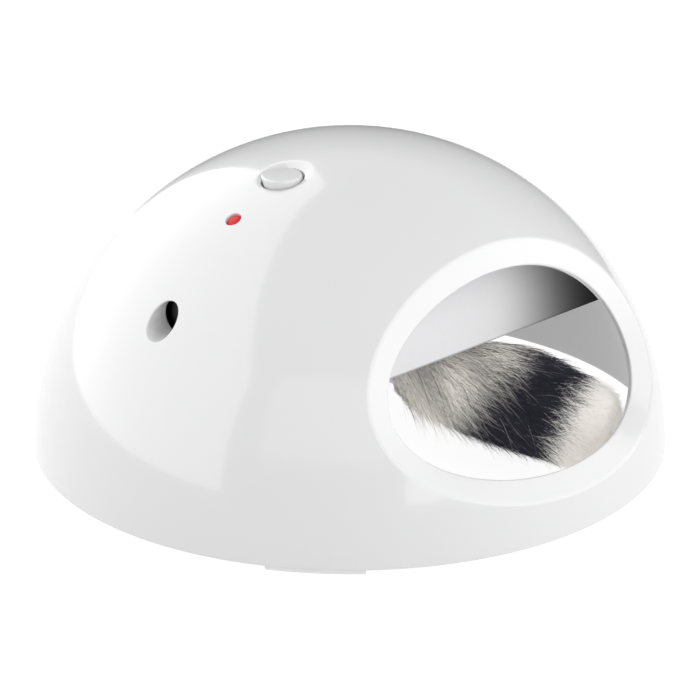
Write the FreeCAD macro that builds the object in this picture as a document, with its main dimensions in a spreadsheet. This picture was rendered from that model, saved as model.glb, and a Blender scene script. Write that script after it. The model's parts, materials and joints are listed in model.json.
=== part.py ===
"""Automatic cat laser toy: a glossy dome with a swinging laser and a fur tail that sweeps under it.

Millimetres, +Z up. The origin is on the floor under the middle of the dome, the laser looks
along -Y and the tail window faces +X.
"""
import FreeCAD, Part
import math
import os
import re
import Sketcher

os.makedirs("parts", exist_ok=True)
doc = FreeCAD.newDocument("cat_laser_toy")

# Driving sizes, in millimetres and degrees
SIZES = {
    # Dome
    "dome_radius": 120.0,
    "dome_wall": 2.4,
    "centre_drop": 2.9,
    "rim_height": 3.0,
    # Tail window
    "window_tilt": 31.6,
    "window_outer_half_width": 69.4,
    "window_outer_half_height": 46.9,
    "window_inner_half_width": 60.2,
    "window_inner_half_height": 37.3,
    "window_recess": 5.6,
    "window_edge_round": 3.0,
    # Laser port
    "port_height": 74.8,
    "port_radius": 6.2,
    "port_wall": 1.8,
    # Power button and its dish
    "button_elevation": 73.3,
    "button_half_width": 7.4,
    "button_half_length": 7.2,
    "button_gap": 0.8,
    "button_crown": 0.5,
    "button_seat_gap": 0.1,
    "button_travel": 1.2,
    "button_flange": 1.2,
    "button_flange_margin": 1.9,
    "dish_half_width": 15.4,
    "dish_half_length": 15.3,
    "dish_half_depth": 8.0,
    "dish_shift": 1.0,
    "dish_depth": 2.5,
    "button_pad_radius": 13.0,
    "button_pad_wall": 2.8,
    # Indicator light
    "led_below_button": 12.5,
    "led_radius": 2.5,
    "led_hole_radius": 3.0,
    "led_recess": 0.3,
    "led_body": 4.0,
    "led_flange_radius": 2.9,
    "led_flange": 1.0,
    "led_boss_radius": 4.6,
    "led_boss": 4.6,
    # Control board
    "board_depth": 12.0,
    "board_wall": 1.6,
    "board_half_width": 23.0,
    "board_up": 14.0,
    "board_down": 34.0,
    "board_post_x": 18.5,
    "board_post_y": 10.0,
    "board_post_radius": 3.0,
    "board_pilot_depth": 4.0,
    "chip_y": -15.0,
    "chip_half_width": 4.0,
    "chip_half_length": 5.0,
    "chip_height": 1.6,
    "capacitor_x": 12.0,
    "capacitor_y": -24.0,
    "capacitor_radius": 2.5,
    "capacitor_length": 7.0,
    "connector_x": -13.0,
    "connector_y": 5.0,
    "connector_half_width": 4.0,
    "connector_half_length": 3.0,
    "connector_height": 5.5,
    "switch_half": 3.1,
    "switch_body": 2.8,
    "switch_floor": 0.2,
    "plunger_radius": 1.7,
    # Feet
    "foot_azimuth": 39.6,
    "foot_half_angle": 9.4,
    "foot_inset": 3.0,
    "foot_width": 7.2,
    "foot_lug": 4.0,
    # Inner tray
    "deck_under": 51.2,
    "deck_wall": 2.4,
    "tray_gap": 0.4,
    "bulkhead_x": 54.0,
    "bulkhead_wall": 2.4,
    "post_inset": 28.0,
    "post_radius": 4.0,
    "post_screw_radius": 1.5,
    "post_screw_length": 10.0,
    "screw_head_radius": 2.8,
    "screw_head": 1.8,
    "pilot_slack": 0.2,
    "screw_end_gap": 1.0,
    "short_screw_bite": 1.8,
    # Battery bay
    "cell_radius": 7.25,
    "cell_length": 49.5,
    "cell_nub_radius": 2.75,
    "cell_nub": 1.0,
    "cell_pitch": 15.5,
    "bay_share": 0.226,
    "bay_wall": 1.6,
    "bay_slack": 0.4,
    "contact_space": 3.3,
    "contact_plate": 0.6,
    "contact_margin": 1.0,
    "door_wall": 1.6,
    "door_margin": 4.2,
    "door_gap": 0.3,
    "door_slide": 8.0,
    "rail_wall": 2.4,
    "rail_lip": 2.8,
    "rail_half_length": 20.0,
    # Tail drive
    "shaft_radius": 2.0,
    "shaft_fit": 0.05,
    "shaft_chamfer": 0.4,
    "bush_radius": 3.5,
    "bush_flange_radius": 5.0,
    "bush_flange": 1.6,
    "gear_floor": 3.7,
    "slow_module": 0.8,
    "slow_wheel_teeth": 48,
    "fast_module": 0.6,
    "wheel_teeth": 36,
    "pinion_teeth": 12,
    "slow_face": 4.0,
    "fast_face": 2.5,
    "gear_backlash": 0.2,
    "gear_pin_radius": 1.0,
    "gear_pin_fit": 0.06,
    "gear_sleeve_radius": 2.2,
    "gear_end_gap": 0.3,
    "cover_under": 71.5,
    "cover_wall": 2.4,
    "cover_screw_bite": 5.0,
    "pillar_radius": 3.2,
    "front_pillar_angle": 232.0,
    "left_pillar_x": -16.0,
    "left_pillar_y": 34.0,
    "right_pillar_x": 32.0,
    "right_pillar_y": 20.0,
    "rear_pillar_x": 31.0,
    "rear_pillar_y": 50.0,
    "motor_radius": 12.2,
    "motor_length": 12.3,
    "motor_boss_radius": 3.0,
    "motor_boss": 1.7,
    "motor_shaft_radius": 1.0,
    "motor_hole_offset": 8.5,
    "motor_cap_step": 2.0,
    "motor_cap": 1.2,
    "terminal_offset": 5.0,
    "terminal_half_width": 1.0,
    "terminal_half_wall": 0.2,
    "terminal_length": 2.8,
    # Rotor and tail
    "tail_angle": 26.0,
    "tail_drop": 10.8,
    "tail_height": 37.2,
    "tail_root": 20.5,
    "tail_tip_gap": 12.0,
    "tail_radius": 18.5,
    "tail_root_radius": 11.5,
    "tail_core_radius": 3.0,
    "tail_core_short": 10.0,
    "tail_core_start": 9.0,
    "hub_radius": 8.0,
    "hub_bottom": 27.5,
    "hub_disc_radius": 22.0,
    "hub_disc_wall": 2.6,
    "hub_chamfer": 2.0,
    "hub_cove": 3.0,
    "hub_disc_chamfer": 1.0,
    "hub_screw_drop": 6.0,
    "socket_radius": 7.0,
    "collar_radius": 7.0,
    "collar_length": 4.8,
    "fur_gap": 0.3,
    # Laser head
    "laser_skin_gap": 1.413,
    "barrel_radius": 5.5,
    "barrel_front": 8.0,
    "barrel_length": 23.0,
    "port_to_barrel": 2.0,
    "lens_radius": 2.5,
    "lens_wall": 1.0,
    "lens_recess": 1.2,
    "cradle_half_width": 8.5,
    "cradle_half_height": 8.0,
    "cradle_front": 4.6,
    "cradle_back": 9.0,
    "arm_wall": 2.7,
    "pivot_pin_radius": 1.5,
    "pivot_pin_seat": 2.2,
    "bracket_gap": 0.4,
    "bracket_wall": 2.4,
    "bracket_half_width": 14.0,
    "bracket_front": 2.0,
    "bracket_back": 5.0,
    "bracket_post_gap": 1.0,
    "bracket_foot": 20.5,
    "laser_swing": 12.0,
    "pan_module": 0.5,
    "pan_sector_teeth": 104,
    "pan_pinion_teeth": 10,
    "sector_low": 2.5,
    "sector_face": 3.0,
    "sector_ring": 6.0,
    "sector_half_width": 10.5,
    "pan_motor_radius": 6.0,
    "pan_motor_length": 14.5,
    "pan_motor_lift": 1.0,
    "gearhead_half_width": 6.0,
    "gearhead_half_depth": 5.0,
    "gearhead_height": 6.5,
    "gearhead_floor": 1.0,
    "pan_shaft_proud": 1.0,
    "clip_wall": 2.0,
    "clip_height": 8.0,
    "clip_fit": 0.1,
    "clip_foot": 6.0,
    "clip_half_width": 4.0,
}

sheet = doc.addObject("Spreadsheet::Sheet", "dims")
for row, (name, value) in enumerate(SIZES.items(), start=1):
    sheet.set(f"A{row}", str(value))
    sheet.setAlias(f"A{row}", name)
doc.recompute()

# Places that follow from the driving sizes
CENTRE = "(rim_height - centre_drop)"
INNER = "(dome_radius - dome_wall)"
DECK_TOP = "(deck_under + deck_wall)"
BUTTON_LEAN = "(90 - button_elevation)"
LED_LEAN = f"({BUTTON_LEAN} + led_below_button)"
BUTTON_STOP = "(dome_radius - dish_depth - button_pad_wall)"
BOARD_TOP = "(dome_radius - board_depth)"
LED_TIP = "(dome_radius - led_recess)"
LED_BASE = f"({LED_TIP} - led_radius - led_body - led_flange)"
LASER_HEIGHT = f"({CENTRE} + port_height)"
POST_CIRCLE = "(dome_radius - post_inset)"
TAIL_TIP = "(dome_radius - tail_tip_gap)"
TAIL_CORE_END = f"({TAIL_TIP} - tail_core_short)"
BRACKET_RISE = "(port_height + cradle_half_height + bracket_gap + bracket_wall)"
PIVOT_Y = (f"(bracket_front + laser_skin_gap - sqrt({INNER} * {INNER} - {BRACKET_RISE} * {BRACKET_RISE}"
           " - bracket_half_width * bracket_half_width))")
BARREL_FACE = f"({PIVOT_Y} - barrel_front)"
PORT_END = f"({BARREL_FACE} - port_to_barrel)"
CELL_HEIGHT = f"({DECK_TOP} + bay_slack + cell_radius)"
BAY_HALF_X = "(cell_pitch + cell_radius + bay_slack)"
BAY_HALF_Y = "(cell_length / 2 + cell_nub / 2 + contact_space)"
BAY_ROOF = f"({CELL_HEIGHT} + cell_radius + bay_slack)"
BAY_RISE = f"({BAY_ROOF} + bay_wall - {CENTRE})"
BAY_SKIN = (f"sqrt({INNER} * {INNER} - {BAY_RISE} * {BAY_RISE}"
            f" - ({BAY_HALF_Y} + bay_wall) * ({BAY_HALF_Y} + bay_wall))")
GEAR_REACH = "(slow_wheel_teeth / 2 + 0.85) * slow_module"
BAY_ROOM = f"({BAY_SKIN} - {GEAR_REACH} - 2 * ({BAY_HALF_X} + bay_wall))"
CELL_X = f"({BAY_HALF_X} + bay_wall + bay_share * {BAY_ROOM} - {BAY_SKIN})"
DOOR_TOP = "(deck_under - door_gap)"
DOOR_BOTTOM = f"({DOOR_TOP} - door_wall)"
DOOR_HALF_X = f"({BAY_HALF_X} + door_margin)"
DOOR_HALF_Y = f"({BAY_HALF_Y} + door_margin)"
GEAR_BASE = f"({DECK_TOP} + gear_floor)"
WHEEL_BASE = f"({GEAR_BASE} + slow_face + gear_end_gap * 2)"
FAST_BASE = f"({WHEEL_BASE} + fast_face + gear_end_gap * 4)"
SLOW_DISTANCE = "((slow_wheel_teeth + pinion_teeth) * slow_module / 2)"
FAST_DISTANCE = "((wheel_teeth + pinion_teeth) * fast_module / 2)"
COVER_TOP = "(cover_under + cover_wall)"
HUB_TOP = "(deck_under - bush_flange - gear_end_gap)"
PAN_Y = f"({PIVOT_Y} + (pan_sector_teeth + pan_pinion_teeth) * pan_module / 2)"
SECTOR_Z = f"({LASER_HEIGHT} + sector_low)"
GEARHEAD_BASE = f"({DECK_TOP} + pan_motor_lift + pan_motor_length)"
GEARHEAD_TOP = f"({GEARHEAD_BASE} + gearhead_height)"

# The three gear axes and the cover's pillars stand in this plan
GEAR_B = ("0", SLOW_DISTANCE)
GEAR_A = (FAST_DISTANCE, SLOW_DISTANCE)
MOTOR = (FAST_DISTANCE, f"({SLOW_DISTANCE} + {FAST_DISTANCE})")
PILLAR_REACH = f"({SLOW_DISTANCE} - slow_module + pillar_radius + gear_end_gap)"
PILLARS = (
    (f"{PILLAR_REACH} * cos(front_pillar_angle)", f"{PILLAR_REACH} * sin(front_pillar_angle)"),
    ("left_pillar_x", "left_pillar_y"),
    ("right_pillar_x", "right_pillar_y"),
    ("rear_pillar_x", "rear_pillar_y"),
)
TRAY_POST_ANGLES = (70, 150, 210, 290)

pieces = {}


def live(formula):
    """A formula whose size names point at the sheet."""
    return re.sub(r"[a-z][a-z_]*", lambda word: "dims." + word[0] if word[0] in SIZES else word[0], formula)


def size(formula):
    """The present value of a formula."""
    value = sheet.evalExpression(live(formula))
    return float(getattr(value, "Value", value))


def bind(piece, **formulas):
    """Tie properties to formulas; two underscores stand for a dot."""
    for path, formula in formulas.items():
        piece.setExpression(path.replace("__", "."), live(formula))
    return piece


def put(piece, x="0", y="0", z="0"):
    """Tie a piece's place to formulas."""
    return bind(piece, Placement__Base__x=x, Placement__Base__y=y, Placement__Base__z=z)


def turn(piece, axis, angle):
    """Turn a piece about an axis by a formula in degrees."""
    piece.Placement = FreeCAD.Placement(piece.Placement.Base, FreeCAD.Rotation(FreeCAD.Vector(*axis), 1))
    return bind(piece, Placement__Rotation__Angle=angle)


def block(name, x, y, z):
    """A box between low and high formulas."""
    piece = doc.addObject("Part::Box", name)
    for side, (low, high) in zip(("Length", "Width", "Height"), (x, y, z)):
        bind(piece, **{side: f"({high}) - ({low})"})
    return put(piece, x[0], y[0], z[0])


def rod(name, radius, z, x="0", y="0"):
    """An upright cylinder."""
    piece = doc.addObject("Part::Cylinder", name)
    bind(piece, Radius=radius, Height=f"({z[1]}) - ({z[0]})")
    return put(piece, x, y, z[0])


def rod_y(name, radius, y, x="0", z="0"):
    """A cylinder along Y, from its high end towards -Y."""
    piece = doc.addObject("Part::Cylinder", name)
    bind(piece, Radius=radius, Height=f"({y[1]}) - ({y[0]})")
    turn(piece, (1, 0, 0), "90")
    return put(piece, x, y[1], z)


def outward(angle, drop="0"):
    """The rotation that lays an upright piece outwards from the middle, its end lowered by drop."""
    return FreeCAD.Rotation(FreeCAD.Vector(0, 0, 1), size(angle)).multiply(
        FreeCAD.Rotation(FreeCAD.Vector(0, 1, 0), 90 + size(drop)))


def rod_out(name, radius, reach, angle, z, drop="0"):
    """A cylinder that points away from the middle at an angle from +X."""
    piece = doc.addObject("Part::Cylinder", name)
    bind(piece, Radius=radius, Height=f"({reach[1]}) - ({reach[0]})")
    piece.Placement = FreeCAD.Placement(FreeCAD.Vector(), outward(angle, drop))
    return put(piece, f"({reach[0]}) * cos({drop}) * cos({angle})",
               f"({reach[0]}) * cos({drop}) * sin({angle})", f"({z}) - ({reach[0]}) * sin({drop})")


def place_leaning(piece, low, lean, x="0", y="0"):
    """Stand a piece on the dome's normal that leans towards -Y, low out from the dome's centre."""
    turn(piece, (1, 0, 0), lean)
    return put(piece, x, f"({y}) * cos({lean}) - ({low}) * sin({lean})",
               f"{CENTRE} + ({low}) * cos({lean}) + ({y}) * sin({lean})")


def rod_leaning(name, radius, span, lean, x="0", y="0"):
    """A cylinder along a leaning normal of the dome."""
    piece = doc.addObject("Part::Cylinder", name)
    bind(piece, Radius=radius, Height=f"({span[1]}) - ({span[0]})")
    return place_leaning(piece, span[0], lean, x, y)


def block_leaning(name, x, y, span, lean):
    """A box along a leaning normal of the dome."""
    piece = doc.addObject("Part::Box", name)
    bind(piece, Length=f"({x[1]}) - ({x[0]})", Width=f"({y[1]}) - ({y[0]})",
         Height=f"({span[1]}) - ({span[0]})")
    return place_leaning(piece, span[0], lean, x[0], y[0])


def oval_leaning(name, half_x, half_y, span, lean):
    """An oval column along a leaning normal of the dome."""
    outline = doc.addObject("Part::Ellipse", name + "_outline")
    bind(outline, MajorRadius=half_x, MinorRadius=half_y)
    place_leaning(outline, span[0], lean)
    column = doc.addObject("Part::Extrusion", name)
    column.Base = outline
    column.DirMode = "Normal"
    column.Solid = True
    bind(column, LengthFwd=f"({span[1]}) - ({span[0]})")
    return column


def joined(name, *solids):
    piece = doc.addObject("Part::MultiFuse", name)
    piece.Shapes = list(solids)
    piece.Refine = True
    return piece


def shared(name, *solids):
    piece = doc.addObject("Part::MultiCommon", name)
    piece.Shapes = list(solids)
    return piece


def cut(name, base, *tools):
    piece = doc.addObject("Part::Cut", name)
    piece.Base = base
    piece.Tool = tools[0] if len(tools) == 1 else joined(name + "_tools", *tools)
    return piece


def group(name, *solids):
    piece = doc.addObject("Part::Compound", name)
    piece.Links = list(solids)
    return piece


def made(name, shape, place=None):
    """A piece whose outline only a formula gives."""
    piece = doc.addObject("Part::Feature", name)
    piece.Shape = shape
    piece.Placement = place or FreeCAD.Placement()
    return piece


def keep(label, piece):
    """Name a finished sub-part."""
    piece.Label = label
    pieces[label] = piece
    return piece


def outline_sketch(body, name, role, corners):
    """A closed outline whose corners are tied to formulas, on one of the body's own planes."""
    plane = next(feature for feature in body.Origin.OriginFeatures if feature.Role == role)
    sketch = body.newObject("Sketcher::SketchObject", name)
    sketch.AttachmentSupport = [(plane, "")]
    sketch.MapMode = "FlatFace"
    points = [FreeCAD.Vector(size(across), size(up), 0) for across, up in corners]
    for start, end in zip(points, points[1:] + points[:1]):
        sketch.addGeometry(Part.LineSegment(start, end))
    for number in range(len(points)):
        following = (number + 1) % len(points)
        sketch.addConstraint(Sketcher.Constraint("Coincident", number, 2, following, 1))
    for number, (formulas, point) in enumerate(zip(corners, points)):
        for kind, formula, value in zip(("DistanceX", "DistanceY"), formulas, (point.x, point.y)):
            at = sketch.addConstraint(Sketcher.Constraint(kind, -1, 1, number, 1, value))
            sketch.renameConstraint(at, f"{kind}{number}")
            sketch.setExpression(f"Constraints.{kind}{number}", live(formula))
    return sketch


def turned(label, corners, x="0", y="0", z="0"):
    """A round piece, turned about its own upright axis from corners (radius, height)."""
    body = doc.addObject("PartDesign::Body", label)
    sketch = outline_sketch(body, label + "_profile", "XZ_Plane", corners)
    revolution = body.newObject("PartDesign::Revolution", label + "_turned")
    revolution.Profile = sketch
    revolution.ReferenceAxis = (sketch, ["V_Axis"])
    revolution.Angle = 360
    put(body, x, y, z)
    return keep(label, body)


def padded(label, corners, height, x="0", y="0", z="0"):
    """A flat piece, padded upwards from corners (x, y)."""
    body = doc.addObject("PartDesign::Body", label)
    sketch = outline_sketch(body, label + "_outline", "XY_Plane", corners)
    pad = body.newObject("PartDesign::Pad", label + "_pad")
    pad.Profile = sketch
    bind(pad, Length=height)
    put(body, x, y, z)
    return body


def gear_outline(teeth, module, phase, tip=0.85, root=1.15, flank_steps=3):
    """The closed outline of a spur gear with involute teeth, one of them centred at phase."""
    pitch = teeth * module / 2
    base = pitch * math.cos(math.radians(20))
    tip_radius = pitch + tip * module
    root_radius = pitch - root * module
    half_tooth = math.pi / (2 * teeth) - size("gear_backlash") / 2 / pitch

    def roll(radius):
        angle = math.acos(min(1, base / radius))
        return math.tan(angle) - angle

    low = max(base, root_radius)
    radii = [low + (tip_radius - low) * step / flank_steps for step in range(flank_steps + 1)]
    flank = [(radius, half_tooth + roll(pitch) - roll(radius)) for radius in radii]
    if root_radius < base:
        flank.insert(0, (root_radius, flank[0][1]))
    points = []
    for tooth in range(teeth):
        middle = math.radians(phase) + 2 * math.pi * tooth / teeth
        corners = [(radius, middle - spread) for radius, spread in flank]
        corners += [(radius, middle + spread) for radius, spread in reversed(flank)]
        points += [FreeCAD.Vector(r * math.cos(a), r * math.sin(a), 0) for r, a in corners]
    return Part.makePolygon(points + points[:1])


def gear_solid(teeth, module, phase, bottom, face, tip=0.85, root=1.15):
    solid = Part.Face(gear_outline(int(teeth), module, phase, tip, root)).extrude(FreeCAD.Vector(0, 0,
                                                                                                 face))
    solid.translate(FreeCAD.Vector(0, 0, bottom))
    return solid


def direction(start, end):
    """The angle in plan from one axis to another, in degrees."""
    across = size(end[0]) - size(start[0])
    along = size(end[1]) - size(start[1])
    return math.degrees(math.atan2(along, across))


def upright(radius, low, high):
    return Part.makeCylinder(radius, high - low, FreeCAD.Vector(0, 0, low))


def screw(name, x, y, head_bottom, length, radius="post_screw_radius"):
    """A self-tapping screw that goes up from a round head."""
    head = rod(name + "_head", "screw_head_radius", (head_bottom, f"{head_bottom} + screw_head"), x, y)
    shank = rod(name + "_shank", radius,
                (f"{head_bottom} + screw_head", f"{head_bottom} + screw_head + ({length})"), x, y)
    return joined(name, head, shank)


def screw_down(name, x, y, seat, length, radius="post_screw_radius", head_radius="screw_head_radius"):
    """A screw that goes down from a round head on its seat."""
    head = rod(name + "_head", head_radius, (seat, f"{seat} + screw_head"), x, y)
    shank = rod(name + "_shank", radius, (f"{seat} - ({length})", seat), x, y)
    return joined(name, head, shank)


# Tail window: curves on two spheres about the dome's centre, seen along the window's axis
BAND_PAST = 6
BAND_PROUD = 3


def window_frame():
    tilt = math.radians(size("window_tilt"))
    centre = FreeCAD.Vector(0, 0, size(CENTRE))
    axis = FreeCAD.Vector(math.cos(tilt), 0, math.sin(tilt))
    upward = FreeCAD.Vector(-math.sin(tilt), 0, math.cos(tilt))
    return centre, axis, upward


def window_point(half_width, half_height, radius, angle):
    """A point of the oval with these half sizes that lies on a sphere."""
    centre, axis, upward = window_frame()
    across = FreeCAD.Vector(0, half_width * math.cos(angle), 0)
    up = upward * (half_height * math.sin(angle))
    depth = math.sqrt(radius ** 2 - (across + up).Length ** 2)
    return centre + axis * depth + across + up


def window_loop(point_at, steps=64):
    angles = [2 * math.pi * step / steps for step in range(steps)]
    curve = Part.BSplineCurve()
    curve.interpolate(Points=[point_at(angle) for angle in angles], PeriodicFlag=True,
                      Parameters=angles + [2 * math.pi])
    return curve.toShape()


def window_band(outward, behind):
    """A point function on the rim band, past its outer edge and behind its face."""
    centre, axis, upward = window_frame()
    outer = (size("window_outer_half_width"), size("window_outer_half_height"), size("dome_radius"))
    inner = (size("window_inner_half_width"), size("window_inner_half_height"),
             size("dome_radius - window_recess"))

    def point_at(angle):
        ridge = window_point(*outer, angle)
        lip = window_point(*inner, angle)
        along = (ridge - lip).normalize()
        back = (along * axis.dot(along) - axis).normalize()
        start = lip if outward is None else ridge + along * outward
        return start + back * behind

    return window_loop(point_at)


def walls_between(*loops):
    """The walls between neighbouring loops that run the same way round."""
    return [Part.makeRuledSurface(first, second) for first, second in zip(loops, loops[1:])]


def window_opening():
    """The room in front of the rim band: it is cut out of the dome."""
    centre, axis, upward = window_frame()

    def flat_oval(half_width, half_height, depth):
        return window_loop(lambda angle: centre + axis * depth
                           + FreeCAD.Vector(0, half_width * math.cos(angle), 0)
                           + upward * (half_height * math.sin(angle)))

    widen = size("dome_radius / 4")
    narrow = 0.7
    far = flat_oval(size("window_outer_half_width") + widen, size("window_outer_half_height") + widen,
                    size("dome_radius") + widen)
    near = flat_oval(size("window_inner_half_width") * narrow, size("window_inner_half_height") * narrow,
                     size("dome_radius") * narrow)
    loops = (far, window_band(BAND_PAST, 0), window_band(None, 0), near)
    faces = walls_between(*loops)
    faces += [Part.Face(Part.Wire(far)), Part.Face(Part.Wire(near))]
    solid = Part.Solid(Part.Shell(sew(faces)))
    return solid if solid.Volume > 0 else solid.reversed()


def window_rim():
    """The rim band's own material, a little proud of its face so that the opening trims it."""
    wall = size("dome_wall")
    loops = (window_band(BAND_PAST, -BAND_PROUD), window_band(None, -BAND_PROUD), window_band(None, wall),
             window_band(BAND_PAST, wall))
    faces = walls_between(*loops, loops[0])
    solid = Part.Solid(Part.Shell(sew(faces)))
    return solid if solid.Volume > 0 else solid.reversed()


def sew(faces):
    shell = Part.makeCompound(faces)
    shell.sewShape()
    return shell.Faces


# Dome shell: a ball with a hollow, less everything that stands inside the hollow
def dome_shell():
    ball = doc.addObject("Part::Sphere", "dome_ball")
    bind(ball, Radius="dome_radius")
    turn(ball, (0, 0, 1), "180")
    put(ball, z=CENTRE)
    inner_ball = doc.addObject("Part::Sphere", "dome_inner_ball")
    bind(inner_ball, Radius=INNER)
    turn(inner_ball, (0, 0, 1), "180")
    put(inner_ball, z=CENTRE)

    inside = [made("window_rim_band", window_rim())]
    inside.append(rod_y("port_sleeve", "port_radius + port_wall",
                        ("-dome_radius", PORT_END), z=LASER_HEIGHT))
    for angle in TRAY_POST_ANGLES:
        inside.append(rod(f"tray_post_{angle}", "post_radius",
                          (DECK_TOP, f"{DECK_TOP} + {POST_CIRCLE} / 2"),
                          f"{POST_CIRCLE} * cos({angle})", f"{POST_CIRCLE} * sin({angle})"))
    inside.append(rod_leaning("button_pad", "button_pad_radius", (BUTTON_STOP, "dome_radius"), BUTTON_LEAN))
    inside.append(rod_leaning("led_boss_column", "led_boss_radius", (f"{INNER} - led_boss", "dome_radius"),
                              LED_LEAN))
    for side in ("-", ""):
        inside.append(rod_leaning("board_post", "board_post_radius", (BOARD_TOP, "dome_radius"),
                                  BUTTON_LEAN,
                                  side + "board_post_x", "-board_post_y"))
    for name, middle in FEET.items():
        inside.append(foot_arc("foot_lug_" + name, middle, "dome_radius", "0",
                               ("rim_height - 1", "rim_height + foot_lug")))
    hollow = cut("dome_hollow", inner_ball, *inside)
    shell = cut("dome_hollow_ball", ball, hollow)

    tools = [
        block("below_rim", ("-2 * dome_radius", "2 * dome_radius"), ("-2 * dome_radius", "2 * dome_radius"),
              ("-2 * dome_radius", "rim_height")),
        made("window_room", window_opening()),
        rod_y("port_bore", "port_radius", ("-1.2 * dome_radius", f"{PORT_END} + 1"), z=LASER_HEIGHT),
        oval_leaning("button_hole", "button_half_width + button_gap", "button_half_length + button_gap",
                     (f"{BUTTON_STOP} - 1", "dome_radius + 1"), BUTTON_LEAN),
        rod_leaning("led_hole", "led_hole_radius", (f"{INNER} - led_boss - 1", "dome_radius + 1"),
                    LED_LEAN),
    ]
    dish = doc.addObject("Part::Ellipsoid", "button_dish")
    bind(dish, Radius1="dish_half_depth", Radius2="dish_half_width", Radius3="dish_half_length")
    place_leaning(dish, "dome_radius - dish_depth + dish_half_depth", BUTTON_LEAN, y="dish_shift")
    tools.append(dish)
    for angle in TRAY_POST_ANGLES:
        tools.append(rod(f"tray_pilot_{angle}", "post_screw_radius", (f"{DECK_TOP} - 1",
                         f"{DECK_TOP} + post_screw_length"),
                         f"{POST_CIRCLE} * cos({angle})", f"{POST_CIRCLE} * sin({angle})"))
    for side in ("-", ""):
        tools.append(rod_leaning("board_pilot", "gear_pin_radius",
                                 (f"{BOARD_TOP} - 1", f"{BOARD_TOP} + board_pilot_depth"),
                                 BUTTON_LEAN, side + "board_post_x", "-board_post_y"))
    for number, tool in enumerate(tools):
        shell = cut(f"dome_cut_{number}", shell, tool)
    doc.recompute()
    rounded = doc.addObject("Part::Fillet", "dome_rounded")
    rounded.Base = shell
    edge_round = size("window_edge_round")
    rounded.Edges = [(number, edge_round, edge_round) for number,
                     edge in enumerate(shell.Shape.Edges, start=1)
                     if on_window_edge(edge)]
    return keep("dome_shell", rounded)


def on_window_edge(edge):
    """Whether an edge is where the window's rim band meets the outside of the dome."""
    if edge.Length < size("4 * window_outer_half_height"):
        return False
    centre, axis, _ = window_frame()
    steps = [edge.FirstParameter + (edge.LastParameter - edge.FirstParameter) * step / 8 for step in range(9)]
    points = [edge.valueAt(step) - centre for step in steps]
    return all(abs(point.Length - size("dome_radius")) < 0.05 and point.dot(axis) > 0 for point in points)


# Feet: four arcs under the rim, two in front and two behind
FEET = {
    "front_left": "-90 - foot_azimuth",
    "front_right": "-90 + foot_azimuth",
    "rear_right": "90 - foot_azimuth",
    "rear_left": "90 + foot_azimuth",
}


def foot_arc(name, middle, outer, inner, z):
    """A slice of a ring about the dome's axis."""
    slices = []
    for part_name, radius, extra in (("_outer", outer, 0), ("_inner", inner, 1)):
        if part_name == "_inner" and inner == "0":
            radius = "dome_radius - foot_inset - foot_width - 1"
        slice_ = doc.addObject("Part::Cylinder", name + part_name)
        bind(slice_, Radius=radius, Height=f"({z[1]}) - ({z[0]}) + {2 * extra}",
             Angle=f"2 * foot_half_angle + {2 * extra}")
        turn(slice_, (0, 0, 1), f"{middle} - foot_half_angle - {extra}")
        put(slice_, z=f"{z[0]} - {extra}")
        slices.append(slice_)
    return cut(name, *slices)


def feet():
    for name, middle in FEET.items():
        keep("foot_pad_" + name, foot_arc("foot_pad_" + name, middle, "dome_radius - foot_inset",
                                          "dome_radius - foot_inset - foot_width", ("0", "rim_height")))


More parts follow.
